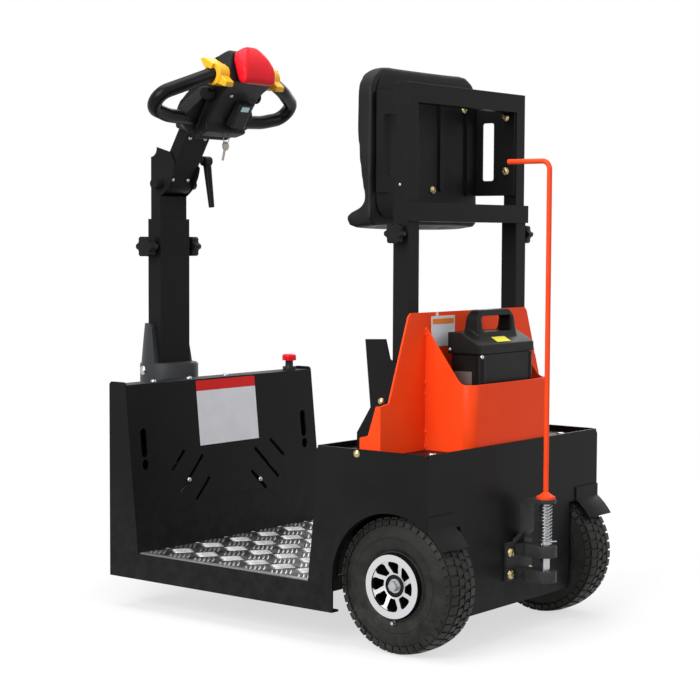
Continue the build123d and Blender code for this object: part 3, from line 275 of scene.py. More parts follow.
label_red = surface("red label band", (0.66, 0.016, 0.014), (0.70, 0.022, 0.020), 0.42,
                    spread=0.06, patch_scale=20.0, grain=800.0, bump=0.04)
label_orange = surface("orange label band", (0.80, 0.22, 0.03), (0.86, 0.26, 0.04), 0.42,
                       spread=0.06, patch_scale=20.0, grain=800.0, bump=0.04)
label_yellow = surface("yellow label", (0.78, 0.72, 0.05), (0.85, 0.79, 0.08), 0.42,
                       spread=0.06, patch_scale=30.0, grain=800.0, bump=0.04)
brown_panel = surface("brown cell window", (0.13, 0.095, 0.085), (0.20, 0.16, 0.145), 0.32,
                      spread=0.12, patch_scale=14.0, grain=1200.0, bump=0.05)
print("plastics made")

# %% [markdown]
# ## Metals
#
# Zinc plating is bright and slightly cloudy. The raised bars of the floor and its edge
# strips are rolled aluminium: stretching the noise along one axis draws the long, fine
# rolling marks. A Mapping node does that, so the group itself stays as it is. The plate
# between the bars is a much darker copy of the same metal, and the key is worn nickel.

# %% Metal materials
zinc = surface("zinc plate", (0.38, 0.385, 0.40), (0.50, 0.505, 0.52), 0.30,
               spread=0.16, patch_scale=60.0, grain=900.0, bump=0.12, metallic=1.0)
brass_screw = surface("yellow zinc", (0.42, 0.33, 0.17), (0.52, 0.43, 0.25), 0.32,
                      spread=0.14, patch_scale=60.0, grain=900.0, bump=0.10, metallic=1.0)
bright_aluminium = surface("rolled aluminium", (0.34, 0.34, 0.345), (0.46, 0.46, 0.465), 0.38,
                           spread=0.18, patch_scale=16.0, grain=260.0, bump=0.12, metallic=1.0)
# Plate between the bars: the same metal as the bars, much darker.
dark_plate_metal = surface("dark floor plate", (0.085, 0.084, 0.080), (0.16, 0.158, 0.152), 0.44,
                        spread=0.20, patch_scale=22.0, grain=260.0, bump=0.20, metallic=1.0)
spring_steel = surface("plated spring wire", (0.25, 0.255, 0.26), (0.34, 0.345, 0.35), 0.34,
                       spread=0.12, patch_scale=60.0, grain=900.0, bump=0.08, metallic=1.0)
key_nickel = surface("worn nickel key", (0.26, 0.24, 0.21), (0.36, 0.33, 0.29), 0.36,
                     spread=0.16, patch_scale=90.0, grain=900.0, bump=0.08, metallic=1.0)


def stretch(material, scale):
    """Stretches a material's pattern along an axis, like rolling or brushing marks."""
    tree = material.node_tree
    place = next(node for node in tree.nodes if node.type == "TEX_COORD")
    mapping = add(tree, "ShaderNodeMapping", in_Scale=scale)
    tree.links.new(place.outputs["Object"], mapping.inputs["Vector"])
    tree.links.new(mapping.outputs["Vector"], tree.nodes["surface"].inputs["Vector"])


stretch(bright_aluminium, (0.15, 1.0, 1.0))
print("metals made")

# %% [markdown]
# ## Two finishes on one casting
#
# Some pieces carry two finishes: the tow pin is zinc plated and its pull rod is
# painted, the axle nut sits on a black dust cap. A mask made from the piece's own
# coordinates blends one finish into the other at an exact height. Two shaders are
# never mixed: only colour, roughness and metallic change, so one Principled shader
# stays in charge and the export can bake it.


# %% Material split along an axis
def split_surface(name, below, above, axis, level):
    """Finish `below` under a level on an axis, and `above` over it."""
    material = above.copy()
    material.name = name
    tree = material.node_tree
    shader = tree.nodes["Principled BSDF"]
    upper = tree.nodes["surface"]
    lower = add(tree, "ShaderNodeGroup", node_tree=lived_in)
    for socket in below.node_tree.nodes["surface"].inputs:
        if socket.name != "Vector":
            lower.inputs[socket.name].default_value = socket.default_value
    place = next(node for node in tree.nodes if node.type == "TEX_COORD")
    tree.links.new(place.outputs["Object"], lower.inputs["Vector"])
    parts = add(tree, "ShaderNodeSeparateXYZ")
    tree.links.new(place.outputs["Object"], parts.inputs["Vector"])
    mask = add(tree, "ShaderNodeMath", operation="GREATER_THAN", in_1=level)
    tree.links.new(parts.outputs[axis], mask.inputs[0])
    for output, target in (("Colour", "Base Color"), ("Roughness", "Roughness")):
        mix = add(tree, "ShaderNodeMix", data_type="RGBA" if output == "Colour" else "FLOAT")
        tree.links.new(mask.outputs["Value"], mix.inputs["Factor"])
        tree.links.new(lower.outputs[output], mix.inputs["A"])
        tree.links.new(upper.outputs[output], mix.inputs["B"])
        tree.links.new(mix.outputs["Result"], shader.inputs[target])
    lower_shader = below.node_tree.nodes["Principled BSDF"]
    metal = add(tree, "ShaderNodeMapRange", in_To_Min=lower_shader.inputs["Metallic"].default_value,
                in_To_Max=shader.inputs["Metallic"].default_value)
    tree.links.new(mask.outputs["Value"], metal.inputs["Value"])
    tree.links.new(metal.outputs["Result"], shader.inputs["Metallic"])
    return material


BARE_PIN = 6 * MM  # bare zinc between the spring's top and the painted collar
STOP_COLLAR = 20 * MM  # height of the button's black collar
HUB_NUT = 38 * MM  # from the tyre's middle out to where the nut starts
pin_and_rod = split_surface("zinc pin, painted rod", zinc, rod_paint, "Z",
                            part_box("hitch_spring")[1].z + BARE_PIN)
stop_collar = surface("black stop collar", (0.02, 0.02, 0.022), (0.03, 0.03, 0.032), 0.4, patch_scale=30.0)
stop_button = split_surface("mushroom button", stop_collar, red_plastic, "Z",
                            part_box("emergency_stop")[0].z + STOP_COLLAR)
hub_left = split_surface("left hub and nut", black_plastic, zinc, "Y",
                         middle("rear_left_tyre").y + HUB_NUT)
hub_right = split_surface("right hub and nut", zinc, black_plastic, "Y",
                          middle("rear_right_tyre").y - HUB_NUT)
print("split finishes made")

# %% [markdown]
# ## Machined wheel faces
#
# The rims are cast, painted black all over, and then turned on a lathe, so only the
# outer ring and the front of the spokes are bright. The lathe follows a shallow
# cone. A group compares each point with that cone: on it the metal is bright, behind
# it the black paint is left. A ring-shaped wave adds the lathe's fine grooves.

# %% Group: lathe mask
RIM_RING_RADIUS = 46.4 * MM  # where the spokes end and the outer ring begins
RIM_FACE = 50 * MM  # ring's face, from the middle of the wheel
SPOKE_FACE = 47 * MM  # spokes' face where they meet the ring
SPOKE_SLOPE = 7.0 / 25.4
RING_CUT, SPOKE_CUT = 0.8 * MM, 0.7 * MM  # how deep the turned skin reaches
RING_MARGIN = 0.2 * MM
GROOVE_PITCH = 0.45 * MM


def make_lathe_group():
    """Mask of the turned faces of a wheel at the origin, and the lathe's grooves."""
    group = bpy.data.node_groups.new("turned_face", "ShaderNodeTree")
    group.interface.new_socket("Vector", in_out="INPUT", socket_type="NodeSocketVector")
    group.interface.new_socket("Mask", in_out="OUTPUT", socket_type="NodeSocketFloat")
    group.interface.new_socket("Height", in_out="OUTPUT", socket_type="NodeSocketFloat")
    link = group.links.new
    given = add(group, "NodeGroupInput")
    result = add(group, "NodeGroupOutput")
    parts = add(group, "ShaderNodeSeparateXYZ")
    link(given.outputs["Vector"], parts.inputs["Vector"])
    flat = add(group, "ShaderNodeCombineXYZ")
    link(parts.outputs["X"], flat.inputs["X"])
    link(parts.outputs["Z"], flat.inputs["Z"])
    radius = add(group, "ShaderNodeVectorMath", operation="LENGTH")
    link(flat.outputs["Vector"], radius.inputs[0])
    cone = add(group, "ShaderNodeMath", operation="MULTIPLY_ADD", in_1=SPOKE_SLOPE,
               in_2=SPOKE_FACE - SPOKE_SLOPE * RIM_RING_RADIUS - SPOKE_CUT)
    link(radius.outputs["Value"], cone.inputs[0])
    on_ring = add(group, "ShaderNodeMath", operation="GREATER_THAN", in_1=RIM_RING_RADIUS - RING_MARGIN)
    link(radius.outputs["Value"], on_ring.inputs[0])
    level = add(group, "ShaderNodeMix", data_type="FLOAT")
    level.inputs["B"].default_value = RIM_FACE - RING_CUT
    link(on_ring.outputs["Value"], level.inputs["Factor"])
    link(cone.outputs["Value"], level.inputs["A"])
    mask = add(group, "ShaderNodeMath", operation="GREATER_THAN")
    link(parts.outputs["Y"], mask.inputs[0])
    link(level.outputs["Result"], mask.inputs[1])
    link(mask.outputs["Value"], result.inputs["Mask"])
    groove = add(group, "ShaderNodeMath", operation="MULTIPLY", in_1=2 * math.pi / GROOVE_PITCH)
    link(radius.outputs["Value"], groove.inputs[0])
    wave = add(group, "ShaderNodeMath", operation="SINE")
    link(groove.outputs["Value"], wave.inputs[0])
    link(wave.outputs["Value"], result.inputs["Height"])
    return group


lathe = make_lathe_group()
TURNED_COLOUR, TURNED_ROUGHNESS = (0.62, 0.62, 0.63, 1), 0.30
GROOVE_BUMP = 0.03


def machined_rim(name, centre, side):
    """Black rim whose face, towards +Y or -Y by side, is turned bright."""
    material = surface(name, (0.008, 0.008, 0.009), (0.013, 0.013, 0.014), 0.4, patch_scale=30.0,
                       grain=700.0, bump=0.15)
    tree = material.node_tree
    shader = tree.nodes["Principled BSDF"]
    group = tree.nodes["surface"]
    place = next(node for node in tree.nodes if node.type == "TEX_COORD")
    mapping = add(tree, "ShaderNodeMapping", in_Scale=(1, side, 1),
                  in_Location=(-centre.x, -centre.y * side, -centre.z))
    turned = add(tree, "ShaderNodeGroup", node_tree=lathe)
    tree.links.new(place.outputs["Object"], mapping.inputs["Vector"])
    tree.links.new(mapping.outputs["Vector"], turned.inputs["Vector"])
    colour = add(tree, "ShaderNodeMix", data_type="RGBA", in_B=TURNED_COLOUR)
    tree.links.new(turned.outputs["Mask"], colour.inputs["Factor"])
    tree.links.new(group.outputs["Colour"], colour.inputs["A"])
    tree.links.new(colour.outputs["Result"], shader.inputs["Base Color"])
    tree.links.new(turned.outputs["Mask"], shader.inputs["Metallic"])
    tree.links.new(turned.outputs["Height"], tree.nodes["relief"].inputs["Height"])
    tree.nodes["relief"].inputs["Strength"].default_value = GROOVE_BUMP
    gloss = add(tree, "ShaderNodeMix", data_type="FLOAT")
    gloss.inputs["B"].default_value = TURNED_ROUGHNESS
    tree.links.new(turned.outputs["Mask"], gloss.inputs["Factor"])
    tree.links.new(group.outputs["Roughness"], gloss.inputs["A"])
    tree.links.new(gloss.outputs["Result"], shader.inputs["Roughness"])
    return material


rim_materials = {
    "rear_left_rim": machined_rim("left rim", middle("rear_left_tyre"), 1),
    "rear_right_rim": machined_rim("right rim", middle("rear_right_tyre"), -1),
    "front_rim": machined_rim("front rim", middle("front_tyre"), 1),
}
print("rims:", ", ".join(rim_materials))

# %% [markdown]
# ## Finishes on the CAD pieces
#
# The record names a material slot for each CAD piece, so most finishes are handed
# out by slot. Pieces with a finish of their own come after. Sheet metal and mouldings
# never have knife edges: a Weld modifier joins the CAD triangles, and a narrow Bevel
# then lets each edge catch the light.

# %% Hand out materials
by_slot = {
    "black_paint": black_paint, "orange_paint": orange_paint, "bright_strip": bright_aluminium,
    "grey_casting": casting_grey, "axle_steel": cast_iron, "tyre_rubber": tyre_rubber,
    "black_plastic": black_plastic, "battery_plastic": battery_plastic, "grip_rubber": grip_rubber,
    "red_plastic": red_plastic, "yellow_plastic": yellow_plastic, "display_plastic": display_plastic,
    "pad_foam": seat_foam, "hitch_paint": hitch_paint, "red_rod": pin_and_rod,
}
by_node = {
    **rim_materials, "rear_left_hub": hub_left, "rear_right_hub": hub_right,
    "emergency_stop": stop_button, "floor_plate": dark_plate_metal, "hitch_spring": spring_steel,
}
for part in frame["record"]["subparts"]:
    node = part["node"]
    material = by_node.get(node) or by_slot[part["material_slot"]]
    for slot in nodes[node].material_slots:
        slot.material = material
print("finishes handed out to", len(nodes), "pieces")

# %% Soft edges
EDGE_WIDTH = 0.7  # millimetres, on every piece that isn't listed
EDGE = {
    "battery_case": 1.5, "display_unit": 1.2, "steering_base": 1.2, "hitch_bracket": 1.2, "seat_pan": 1.2,
    "column_knobs": 1.2, "post_knobs": 1.2, "tiller_stem": 0.8, "emergency_stop": 0.8,
}
ROUND_ALREADY = ("hitch_spring", "hitch_pin", "handle_loops", "floor_edge_strips", "rear_left_rim",
                 "rear_right_rim", "front_rim")
REMADE_BELOW = ("rear_left_tyre", "rear_right_tyre", "front_tyre", "seat_pad", "tiller_head", "belly_button",
                "thumb_switches", "clamp_lever", "battery_lid")
NO_EDGE = ROUND_ALREADY + REMADE_BELOW
for name, piece in nodes.items():
    if name in NO_EDGE:
        continue
    weld = piece.modifiers.new("Weld", "WELD")
    weld.merge_threshold = 0.01 * MM
    bevel = piece.modifiers.new("Bevel", "BEVEL")
    bevel.width = EDGE.get(name, EDGE_WIDTH) * MM
    bevel.segments = 2
    bevel.limit_method = "ANGLE"
    bevel.angle_limit = math.radians(40)
    bevel.harden_normals = False
print("soft edges on", len(nodes) - len(NO_EDGE), "pieces")

# %% [markdown]
# ## Turning a bmesh into a piece
#
# Each new piece ends the same way: normals pointing outwards, a mesh at the origin,
# a material and the CAD body that it rides on.


# %% Piece helper
SAME_POINT = 0.005 * MM  # vertices nearer than this are one


def piece_from(bm, name, body, material, smooth=35.0):
    """Closes a bmesh into a mesh, gives it a finish and hangs it on a CAD body."""
    bmesh.ops.remove_doubles(bm, verts=bm.verts, dist=SAME_POINT)
    bmesh.ops.recalc_face_normals(bm, faces=bm.faces)
    mesh = bpy.data.meshes.new(name)
    bm.to_mesh(mesh)
    bm.free()
    mesh.materials.append(material)
    piece = bpy.data.objects.new(name, mesh)
    bpy.context.scene.collection.objects.link(piece)
    if smooth:
        for face in mesh.polygons:
            face.use_smooth = True
        mesh.set_sharp_from_angle(angle=math.radians(smooth))
    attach(piece, body)
    return piece


def facing(direction):
    """Rotation that turns +Z towards a direction."""
    return Vector((0, 0, 1)).rotation_difference(Vector(direction)).to_matrix().to_4x4()


def round_off(bm, verts, width, segments=1):
    """Bevels every edge that meets these vertices."""
    edges = list({edge for vert in verts for edge in vert.link_edges})
    bmesh.ops.bevel(bm, geom=edges, offset=width, offset_type="OFFSET", segments=segments, profile=0.5,
                    affect="EDGES", material=-1)


def add_rod(bm, radius, end_radius, length, matrix, segments=16):
    """Cylinder or cone that starts at the matrix's origin and runs along its Z."""
    return bmesh.ops.create_cone(bm, cap_ends=True, segments=segments, radius1=radius, radius2=end_radius,
                                 depth=length, matrix=matrix @ Matrix.Translation((0, 0, length / 2)))


def add_box(bm, size, matrix, bevel=0.0, segments=2):
    """Box of a size, placed by a matrix, with its edges bevelled."""
    made = bmesh.ops.create_cube(bm, size=1.0, matrix=matrix @ Matrix.Diagonal((*size, 1)))
    if bevel:
        round_off(bm, made["verts"], bevel, segments)


# %% [markdown]
# ## Tyres
#
# The real tyre is a small pneumatic one with square blocks: two rows round the middle
# and a heavier row over each shoulder whose lugs run down the sidewall. The carcass is
# one section, mirrored about the middle and spun round the axle. A short table gives
# each row of blocks, and a loop places them round the crown. Sculpting the blocks into
# the carcass would give a much heavier mesh for the same look.

# %% Carcass
tyre_low, tyre_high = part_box("rear_left_tyre")
rim_low, rim_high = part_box("rear_left_rim")
TYRE_RADIUS = (tyre_high.z - tyre_low.z) / 2
TYRE_HALF = (tyre_high.y - tyre_low.y) / 2
RIM_RADIUS = (rim_high.z - rim_low.z) / 2
TREAD_DEPTH = 3.4 * MM
LUGS = 44  # blocks in each row
print("tyre radius and half width:", round(TYRE_RADIUS, 4), round(TYRE_HALF, 4))


def carcass(bm):
    """Closed tyre section spun about the wheel's axle, which lies along Y."""
    base = TYRE_RADIUS - TREAD_DEPTH
    # radius and half width round one half of the section, from bead to crown
    half = [
        (RIM_RADIUS, TYRE_HALF - 7 * MM), (RIM_RADIUS + 3 * MM, TYRE_HALF - 4 * MM),
        (RIM_RADIUS + 6 * MM, TYRE_HALF - 4.5 * MM), (RIM_RADIUS + 9 * MM, TYRE_HALF - 2.5 * MM),
        (RIM_RADIUS + 18 * MM, TYRE_HALF - 0.5 * MM), (RIM_RADIUS + 28 * MM, TYRE_HALF - 0.3 * MM),
        (RIM_RADIUS + 29 * MM, TYRE_HALF - 1.4 * MM), (RIM_RADIUS + 31 * MM, TYRE_HALF - 1.4 * MM),
        (RIM_RADIUS + 32 * MM, TYRE_HALF - 0.7 * MM), (RIM_RADIUS + 42 * MM, TYRE_HALF - 2.8 * MM),
        (RIM_RADIUS + 52 * MM, TYRE_HALF - 6.0 * MM), (base - 4 * MM, TYRE_HALF - 9 * MM),
        (base - 1 * MM, TYRE_HALF - 14 * MM), (base, 12 * MM),
    ]
    section = half + [(radius, -width) for radius, width in reversed(half)]
    verts = [bm.verts.new((0, width, radius)) for radius, width in section]
    edges = [bm.edges.new((verts[i], verts[i - 1])) for i in range(len(verts))]
    bmesh.ops.spin(bm, geom=verts + edges, cent=(0, 0, 0), axis=(0, 1, 0), angle=2 * math.pi, steps=96,
                   use_merge=True, use_duplicate=False)


# %% Tread
BLOCK_SINK, BLOCK_ROOT = 0.6 * MM, 1.0 * MM  # how far a block sinks in, and its extra height below
LUG_SIZE = (13.0 * MM, 11.0 * MM, 2.6 * MM)
LUG_INSET, LUG_DROP = 6.2 * MM, 12.5 * MM  # in from the sidewall and down from the crown
LUG_LEAN = 62  # degrees


def tread(bm):
    """Two staggered middle rows, and shoulder blocks with a lug down each sidewall."""
    turn = 2 * math.pi / LUGS
    block_z = TYRE_RADIUS - TREAD_DEPTH / 2 - BLOCK_SINK
    # length round, width across, place across, drop below the crown, stagger in pitches, outward lean
    rows = [
        (13.0, 14.5, 8.6, 0.0, 0.0, 0.0), (13.0, 14.5, -8.6, 0.0, 0.5, 0.0),
        (14.2, 17.5, 27.0, -1.6, 0.25, 9.0), (14.2, 17.5, -27.0, -1.6, 0.75, -9.0),
    ]
    for length, width, across, drop, stagger, lean in rows:
        for index in range(LUGS):
            matrix = (Matrix.Rotation(turn * (index + stagger), 4, "Y")
                      @ Matrix.Translation((0, across * MM, block_z + drop * MM))
                      @ Matrix.Rotation(math.radians(-lean), 4, "X"))
            size = (length * MM, width * MM, TREAD_DEPTH + BLOCK_ROOT)
            add_box(bm, size, matrix, bevel=0.9 * MM, segments=1)
    for side, stagger in ((1, 0.25), (-1, 0.75)):
        for index in range(LUGS):
            matrix = (Matrix.Rotation(turn * (index + stagger), 4, "Y")
                      @ Matrix.Translation((0, side * (TYRE_HALF - LUG_INSET), TYRE_RADIUS - LUG_DROP))
                      @ Matrix.Rotation(math.radians(-side * LUG_LEAN), 4, "X"))
            add_box(bm, LUG_SIZE, matrix, bevel=0.8 * MM, segments=1)


for wheel, side in (("rear_left", 1), ("rear_right", -1), ("front", 1)):
    bm = bmesh.new()
    carcass(bm)
    tread(bm)
    bmesh.ops.translate(bm, vec=middle(f"{wheel}_tyre"), verts=bm.verts)
    body = f"{wheel}_wheel"
    piece_from(bm, f"{wheel}_treaded_tyre", body, tyre_rubber, smooth=30)
    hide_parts(f"{wheel}_tyre")

# %% Valves
VALVE_IN, VALVE_BELOW, VALVE_BACK = 5 * MM, 8 * MM, 3 * MM  # from the sidewall, the rim's edge and the axle
VALVE_STEPS = ((4.2, 0.5), (3.0, 0.8), (3.6, 1.0))  # radius, share of the whole length


def valve(bm, side, reach):
    """Stepped valve stem that stands out of the sidewall just below the rim."""
    foot = Matrix.Translation((-VALVE_BACK, side * (TYRE_HALF - VALVE_IN), -RIM_RADIUS - VALVE_BELOW))
    for radius, share in VALVE_STEPS:
        add_rod(bm, radius * MM, radius * 0.9 * MM, reach * share * MM, foot @ facing((0, side, 0)))


# the front valve is short, because it passes the fork
for wheel, side, reach in (("rear_left", 1, 13), ("rear_right", -1, 13), ("front", 1, 8)):
    bm = bmesh.new()
    valve(bm, side, reach)
    bmesh.ops.translate(bm, vec=middle(f"{wheel}_tyre"), verts=bm.verts)
    piece_from(bm, f"{wheel}_valve", f"{wheel}_wheel", zinc)
print("valves: 3")

# %% [markdown]
# ## The lean pad
#
# The pad is moulded foam with its own tough skin, so it is full and its edges are
# soft and slightly crowned. The CAD solid gives its size. Its copy is remeshed into
# even cells, shrunk a little and blown up as cloth with a gentle pressure, which
# rounds it the way a mould with foam in it does. The back stays flat, because it lies
# on the plastic pan. A Subdivision modifier alone would round the corners, but it
# would leave the broad faces as flat as the solid's.

# %% Helpers that remake a CAD piece
def merged_copy(node, name):
    """Closed copy of a CAD node's mesh, as an object of its own."""
    bm = bmesh.new()
    bm.from_mesh(nodes[node].data)
    bmesh.ops.remove_doubles(bm, verts=bm.verts, dist=0.02 * MM)
    bmesh.ops.recalc_face_normals(bm, faces=bm.faces)
    mesh = bpy.data.meshes.new(name)
    bm.to_mesh(mesh)
    bm.free()
    copy = bpy.data.objects.new(name, mesh)
    bpy.context.scene.collection.objects.link(copy)
    return copy


def apply_modifiers(piece):
    """Replaces the piece's mesh by what its modifiers make of it."""
    depsgraph = bpy.context.evaluated_depsgraph_get()
    made = bpy.data.meshes.new_from_object(piece.evaluated_get(depsgraph))
    piece.modifiers.clear()
    piece.data = made


def even_cells(piece, cell):
    """Adds a modifier that rebuilds a piece from cells of one size."""
    even = piece.modifiers.new("Remesh", "REMESH")
    even.mode = "VOXEL"
    even.voxel_size = cell
    return even


def melt_edges(piece, passes):
    """Adds a modifier that smooths a piece a number of times."""
    melt = piece.modifiers.new("Smooth", "SMOOTH")
    melt.factor = 0.5
    melt.iterations = passes


def flat_back(piece, level):
    """Moves what bulges behind the piece's flat back onto it."""
    for vert in piece.data.vertices:
        vert.co.x = max(vert.co.x, level)


# %% Pad
PAD_CELL = 5 * MM
PAD_SHRINK = 2.2 * MM
PAD_GROWTH = 5 * MM  # the most that the pressure may move a point
PAD_FRAMES = 20
PAD_PRESSURE, PAD_STIFFNESS = 4, 25
pad = merged_copy("seat_pad", "lean_pad")
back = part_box("seat_pad")[0].x
even_cells(pad, PAD_CELL)
apply_modifiers(pad)
for vert, normal in [(vert, vert.normal.copy()) for vert in pad.data.vertices]:
    if vert.co.x > back + 1 * MM:
        vert.co -= normal * PAD_SHRINK
start = [vert.co.copy() for vert in pad.data.vertices]
cloth = pad.modifiers.new("Cloth", "CLOTH")
cloth.settings.use_pressure = True
cloth.settings.uniform_pressure_force = PAD_PRESSURE
cloth.settings.effector_weights.gravity = 0
cloth.settings.tension_stiffness = cloth.settings.compression_stiffness = PAD_STIFFNESS
cloth.point_cache.frame_end = PAD_FRAMES
for number in range(1, PAD_FRAMES + 1):
    bpy.context.scene.frame_set(number)
apply_modifiers(pad)
bpy.context.scene.frame_set(1)
for vert, home in zip(pad.data.vertices, start):
    move = vert.co - home
    if move.length > PAD_GROWTH:
        vert.co = home + move * (PAD_GROWTH / move.length)
flat_back(pad, back)
melt_edges(pad, 4)
finer = pad.modifiers.new("Subdivision", "SUBSURF")
finer.levels = finer.render_levels = 1
apply_modifiers(pad)
flat_back(pad, back)
for face in pad.data.polygons:
    face.use_smooth = True
pad.data.materials.clear()
pad.data.materials.append(seat_foam)
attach(pad, "seat")
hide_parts("seat_pad")
print("pad faces:", len(pad.data.polygons))

# %% [markdown]
# ## Raised bars on the floor plate
#
# Five-bar tread plate is rolled with groups of five short bars. Neighbouring groups
# lie crosswise, so a boot can't slide in any direction. Each bar is a flattened
# sphere half sunk in the plate, which gives it the tapered ends of the rolled one.
# A bump map would be lighter, but real bars catch the light along their edges and
# show against the plate's outline. Planes then trim the groups at the plate's edges.

# %% Five bars
BAR_LENGTH, BAR_WIDTH, BAR_HEIGHT = 46 * MM, 6.6 * MM, 1.7 * MM
BAR_PITCH = 9.2 * MM
GROUP_STEP = Vector((68 * MM, 90 * MM))
GROUP_REACH = 30 * MM  # from a group's middle to its ends
BAR_TURN = math.radians(53)
BAR_FOOT = 1 * MM  # what is left of a bar below the plate's top
STRIP_WIDTH = 12 * MM
plate_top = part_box("floor_plate")[1].z
strips_low, strips_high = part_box("floor_edge_strips")
strip_inner = strips_high.y - STRIP_WIDTH


def on_plate(centre):
    """Whether a group of bars round this point reaches the plate."""
    beside = abs(centre.y) > strip_inner + GROUP_REACH
    return strips_low.x - GROUP_REACH < centre.x < strips_high.x + GROUP_REACH and not beside


bm = bmesh.new()
for bar in range(-2, 3):
    size = Matrix.Diagonal((BAR_LENGTH, BAR_WIDTH, 2 * BAR_HEIGHT, 1))
    bmesh.ops.create_uvsphere(bm, u_segments=12, v_segments=6, radius=0.5,
                              matrix=Matrix.Translation((0, bar * BAR_PITCH, 0)) @ size)
five_bars = bpy.data.meshes.new("five_bars")
bm.to_mesh(five_bars)
bm.free()

# %% Groups over the whole plate
bm = bmesh.new()
groups_made = 0
# the two crossed sets of groups: their first middle, in millimetres, and their turn
for first_x, first_y, turn in ((600, -144, BAR_TURN), (634, -99, -BAR_TURN)):
    start = spot(first_x, first_y, 0)
    for column in range(-7, 2):
        for row in range(-2, 6):
            centre = Vector((start.x + column * GROUP_STEP.x, start.y + row * GROUP_STEP.y, plate_top))
            if not on_plate(centre):
                continue
            groups_made += 1
            place = Matrix.Translation(centre) @ Matrix.Rotation(turn, 4, "Z")
            five_bars.transform(place)
            bm.from_mesh(five_bars)
            five_bars.transform(place.inverted())
for place, outward in (
    ((strips_low.x, 0, 0), (-1, 0, 0)), ((strips_high.x, 0, 0), (1, 0, 0)), ((0, strip_inner, 0), (0, 1, 0)),
    ((0, -strip_inner, 0), (0, -1, 0)), ((0, 0, plate_top - BAR_FOOT), (0, 0, -1)),
):
    everything = bm.verts[:] + bm.edges[:] + bm.faces[:]
    cut = bmesh.ops.bisect_plane(bm, geom=everything, dist=0.01 * MM, plane_co=place, plane_no=outward,
                                 clear_outer=True)
    rim = [edge for edge in cut["geom_cut"] if isinstance(edge, bmesh.types.BMEdge) and edge.is_boundary]
    bmesh.ops.holes_fill(bm, edges=rim, sides=0)
bars = piece_from(bm, "floor_tread_bars", "chassis", bright_aluminium, smooth=50)
print("groups of bars:", groups_made, "faces:", len(bars.data.polygons))

# %% [markdown]
# ## Blank labels
#
# A safety sheet is stuck to the front shield, a tag hangs on the battery holder and
# a yellow label sits on the battery lid. They stay bare: a sheet and a coloured band,
# as thin plates that follow the surface they are stuck to. A plate has a real edge
# and its own material, so the surface below keeps one clean finish. The slots of the
# shield open into the front housing, which is dark inside from shade. A black sheet
# close behind them is painted shade: it stands in for that shade, and it stops the pale
# floor from showing through.

# %% Labels
LABEL_THICKNESS = 0.5 * MM
BACK, LEFT, RIGHT, UP = (-1, 0, 0), (0, 1, 0), (0, -1, 0), (0, 0, 1)


def on_face(centre, right, up):
    """Matrix of a sheet that lies on a face: its width runs right and its height up."""
    right, up = Vector(right).normalized(), Vector(up).normalized()
    rows = Matrix((right, up, right.cross(up))).transposed().to_4x4()
    return Matrix.Translation(centre) @ rows


def label(name, body, material, width, height, matrix):
    """Thin plate, its width and height in millimetres, that lies on a face."""
    bm = bmesh.new()
    add_box(bm, (width * MM, height * MM, LABEL_THICKNESS),
            matrix @ Matrix.Translation((0, 0, LABEL_THICKNESS / 2)), bevel=0.12 * MM, segments=1)
    return piece_from(bm, name, body, material, smooth=0)


SHIELD_FOOT_X, SHIELD_FOOT_Z = 645.0, 117.0
SHIELD_SLOPE = 36.0 / 351.0  # forward for each millimetre up


def on_shield(y, z):
    """Point on the leaning shield's rear face."""
    return spot(SHIELD_FOOT_X + (z - SHIELD_FOOT_Z) * SHIELD_SLOPE, y, z)


# %% Place the labels
SHEET_WIDTH, SHEET_Y = 190, -5
SHEET_Z, BAND_Z = 378, 447.5
shield_up = (SHIELD_SLOPE, 0, 1)
label("safety_sheet", "chassis", label_white, SHEET_WIDTH, 117,
      on_face(on_shield(SHEET_Y, SHEET_Z), RIGHT, shield_up))
label("safety_sheet_band", "chassis", label_red, SHEET_WIDTH, 22,
      on_face(on_shield(SHEET_Y, BAND_Z), RIGHT, shield_up))

# Black sheet behind the shield's slots: painted shade for the dark inside of the front housing.
SHADE_SHEET_SIZE = (260 * MM, 130 * MM, 1 * MM)
SHADE_SHEET_Z, SHADE_SHEET_BEHIND = 262, 10 * MM
bm = bmesh.new()
add_box(bm, SHADE_SHEET_SIZE, on_face(on_shield(0, SHADE_SHEET_Z), RIGHT, shield_up)
        @ Matrix.Translation((0, 0, -SHADE_SHEET_BEHIND)))
piece_from(bm, "shield_shade_sheet", "chassis", black_plastic, smooth=0)

HOLDER_REAR = 31  # rear face of the holder's back plate, ahead of the axle
label("holder_tag", "chassis", label_white, 78, 58,
      on_face(spot(HOLDER_REAR, 93, 590), RIGHT, UP))
label("holder_tag_band", "chassis", label_orange, 70, 10,
      on_face(spot(HOLDER_REAR - 0.5, 93, 609), RIGHT, UP))
label("holder_tag_hook", "chassis", label_white, 8, 12,
      on_face(spot(HOLDER_REAR - 0.2, 113, 621), RIGHT, UP))

LID_SLOPE = 23.0 / 41.0
LID_EDGE_Z = 566.8  # where the lid's sloping rear face begins
label("battery_label", "chassis", label_yellow, 46, 37,
      on_face(spot(-41, 14, LID_EDGE_Z + 21 * LID_SLOPE), RIGHT, (1, 0, LID_SLOPE)))
# The shield's liner counted here is the black sheet of painted shade behind the slots.
print("blank plates: 6, and the shield's liner")

# %% [markdown]
# ## Screws, bolts and rivets
#
# Every fastener is a small turned profile or a hexagon, so one helper makes them all
# from a short table: which body carries it, its finish, its shape, its place, the way
# it faces and its radius. Those of one body and one finish become a single piece.

# %% Fastener helper
HEADS = {  # radius and height round the head, as shares of its radius, from its crown to its closed foot
    "pan": ((0, 0.50), (0.34, 0.50), (0.40, 0.72), (0.66, 0.68), (0.88, 0.48), (1.0, 0.22), (1.0, 0.0),
            (0, 0)),
    "dome": ((0, 0.62), (0.35, 0.58), (0.70, 0.42), (0.93, 0.18), (1.0, 0.0), (0, 0)),
    "washer": ((0, 0.16), (1.0, 0.16), (1.0, 0.0), (0, 0)),
}


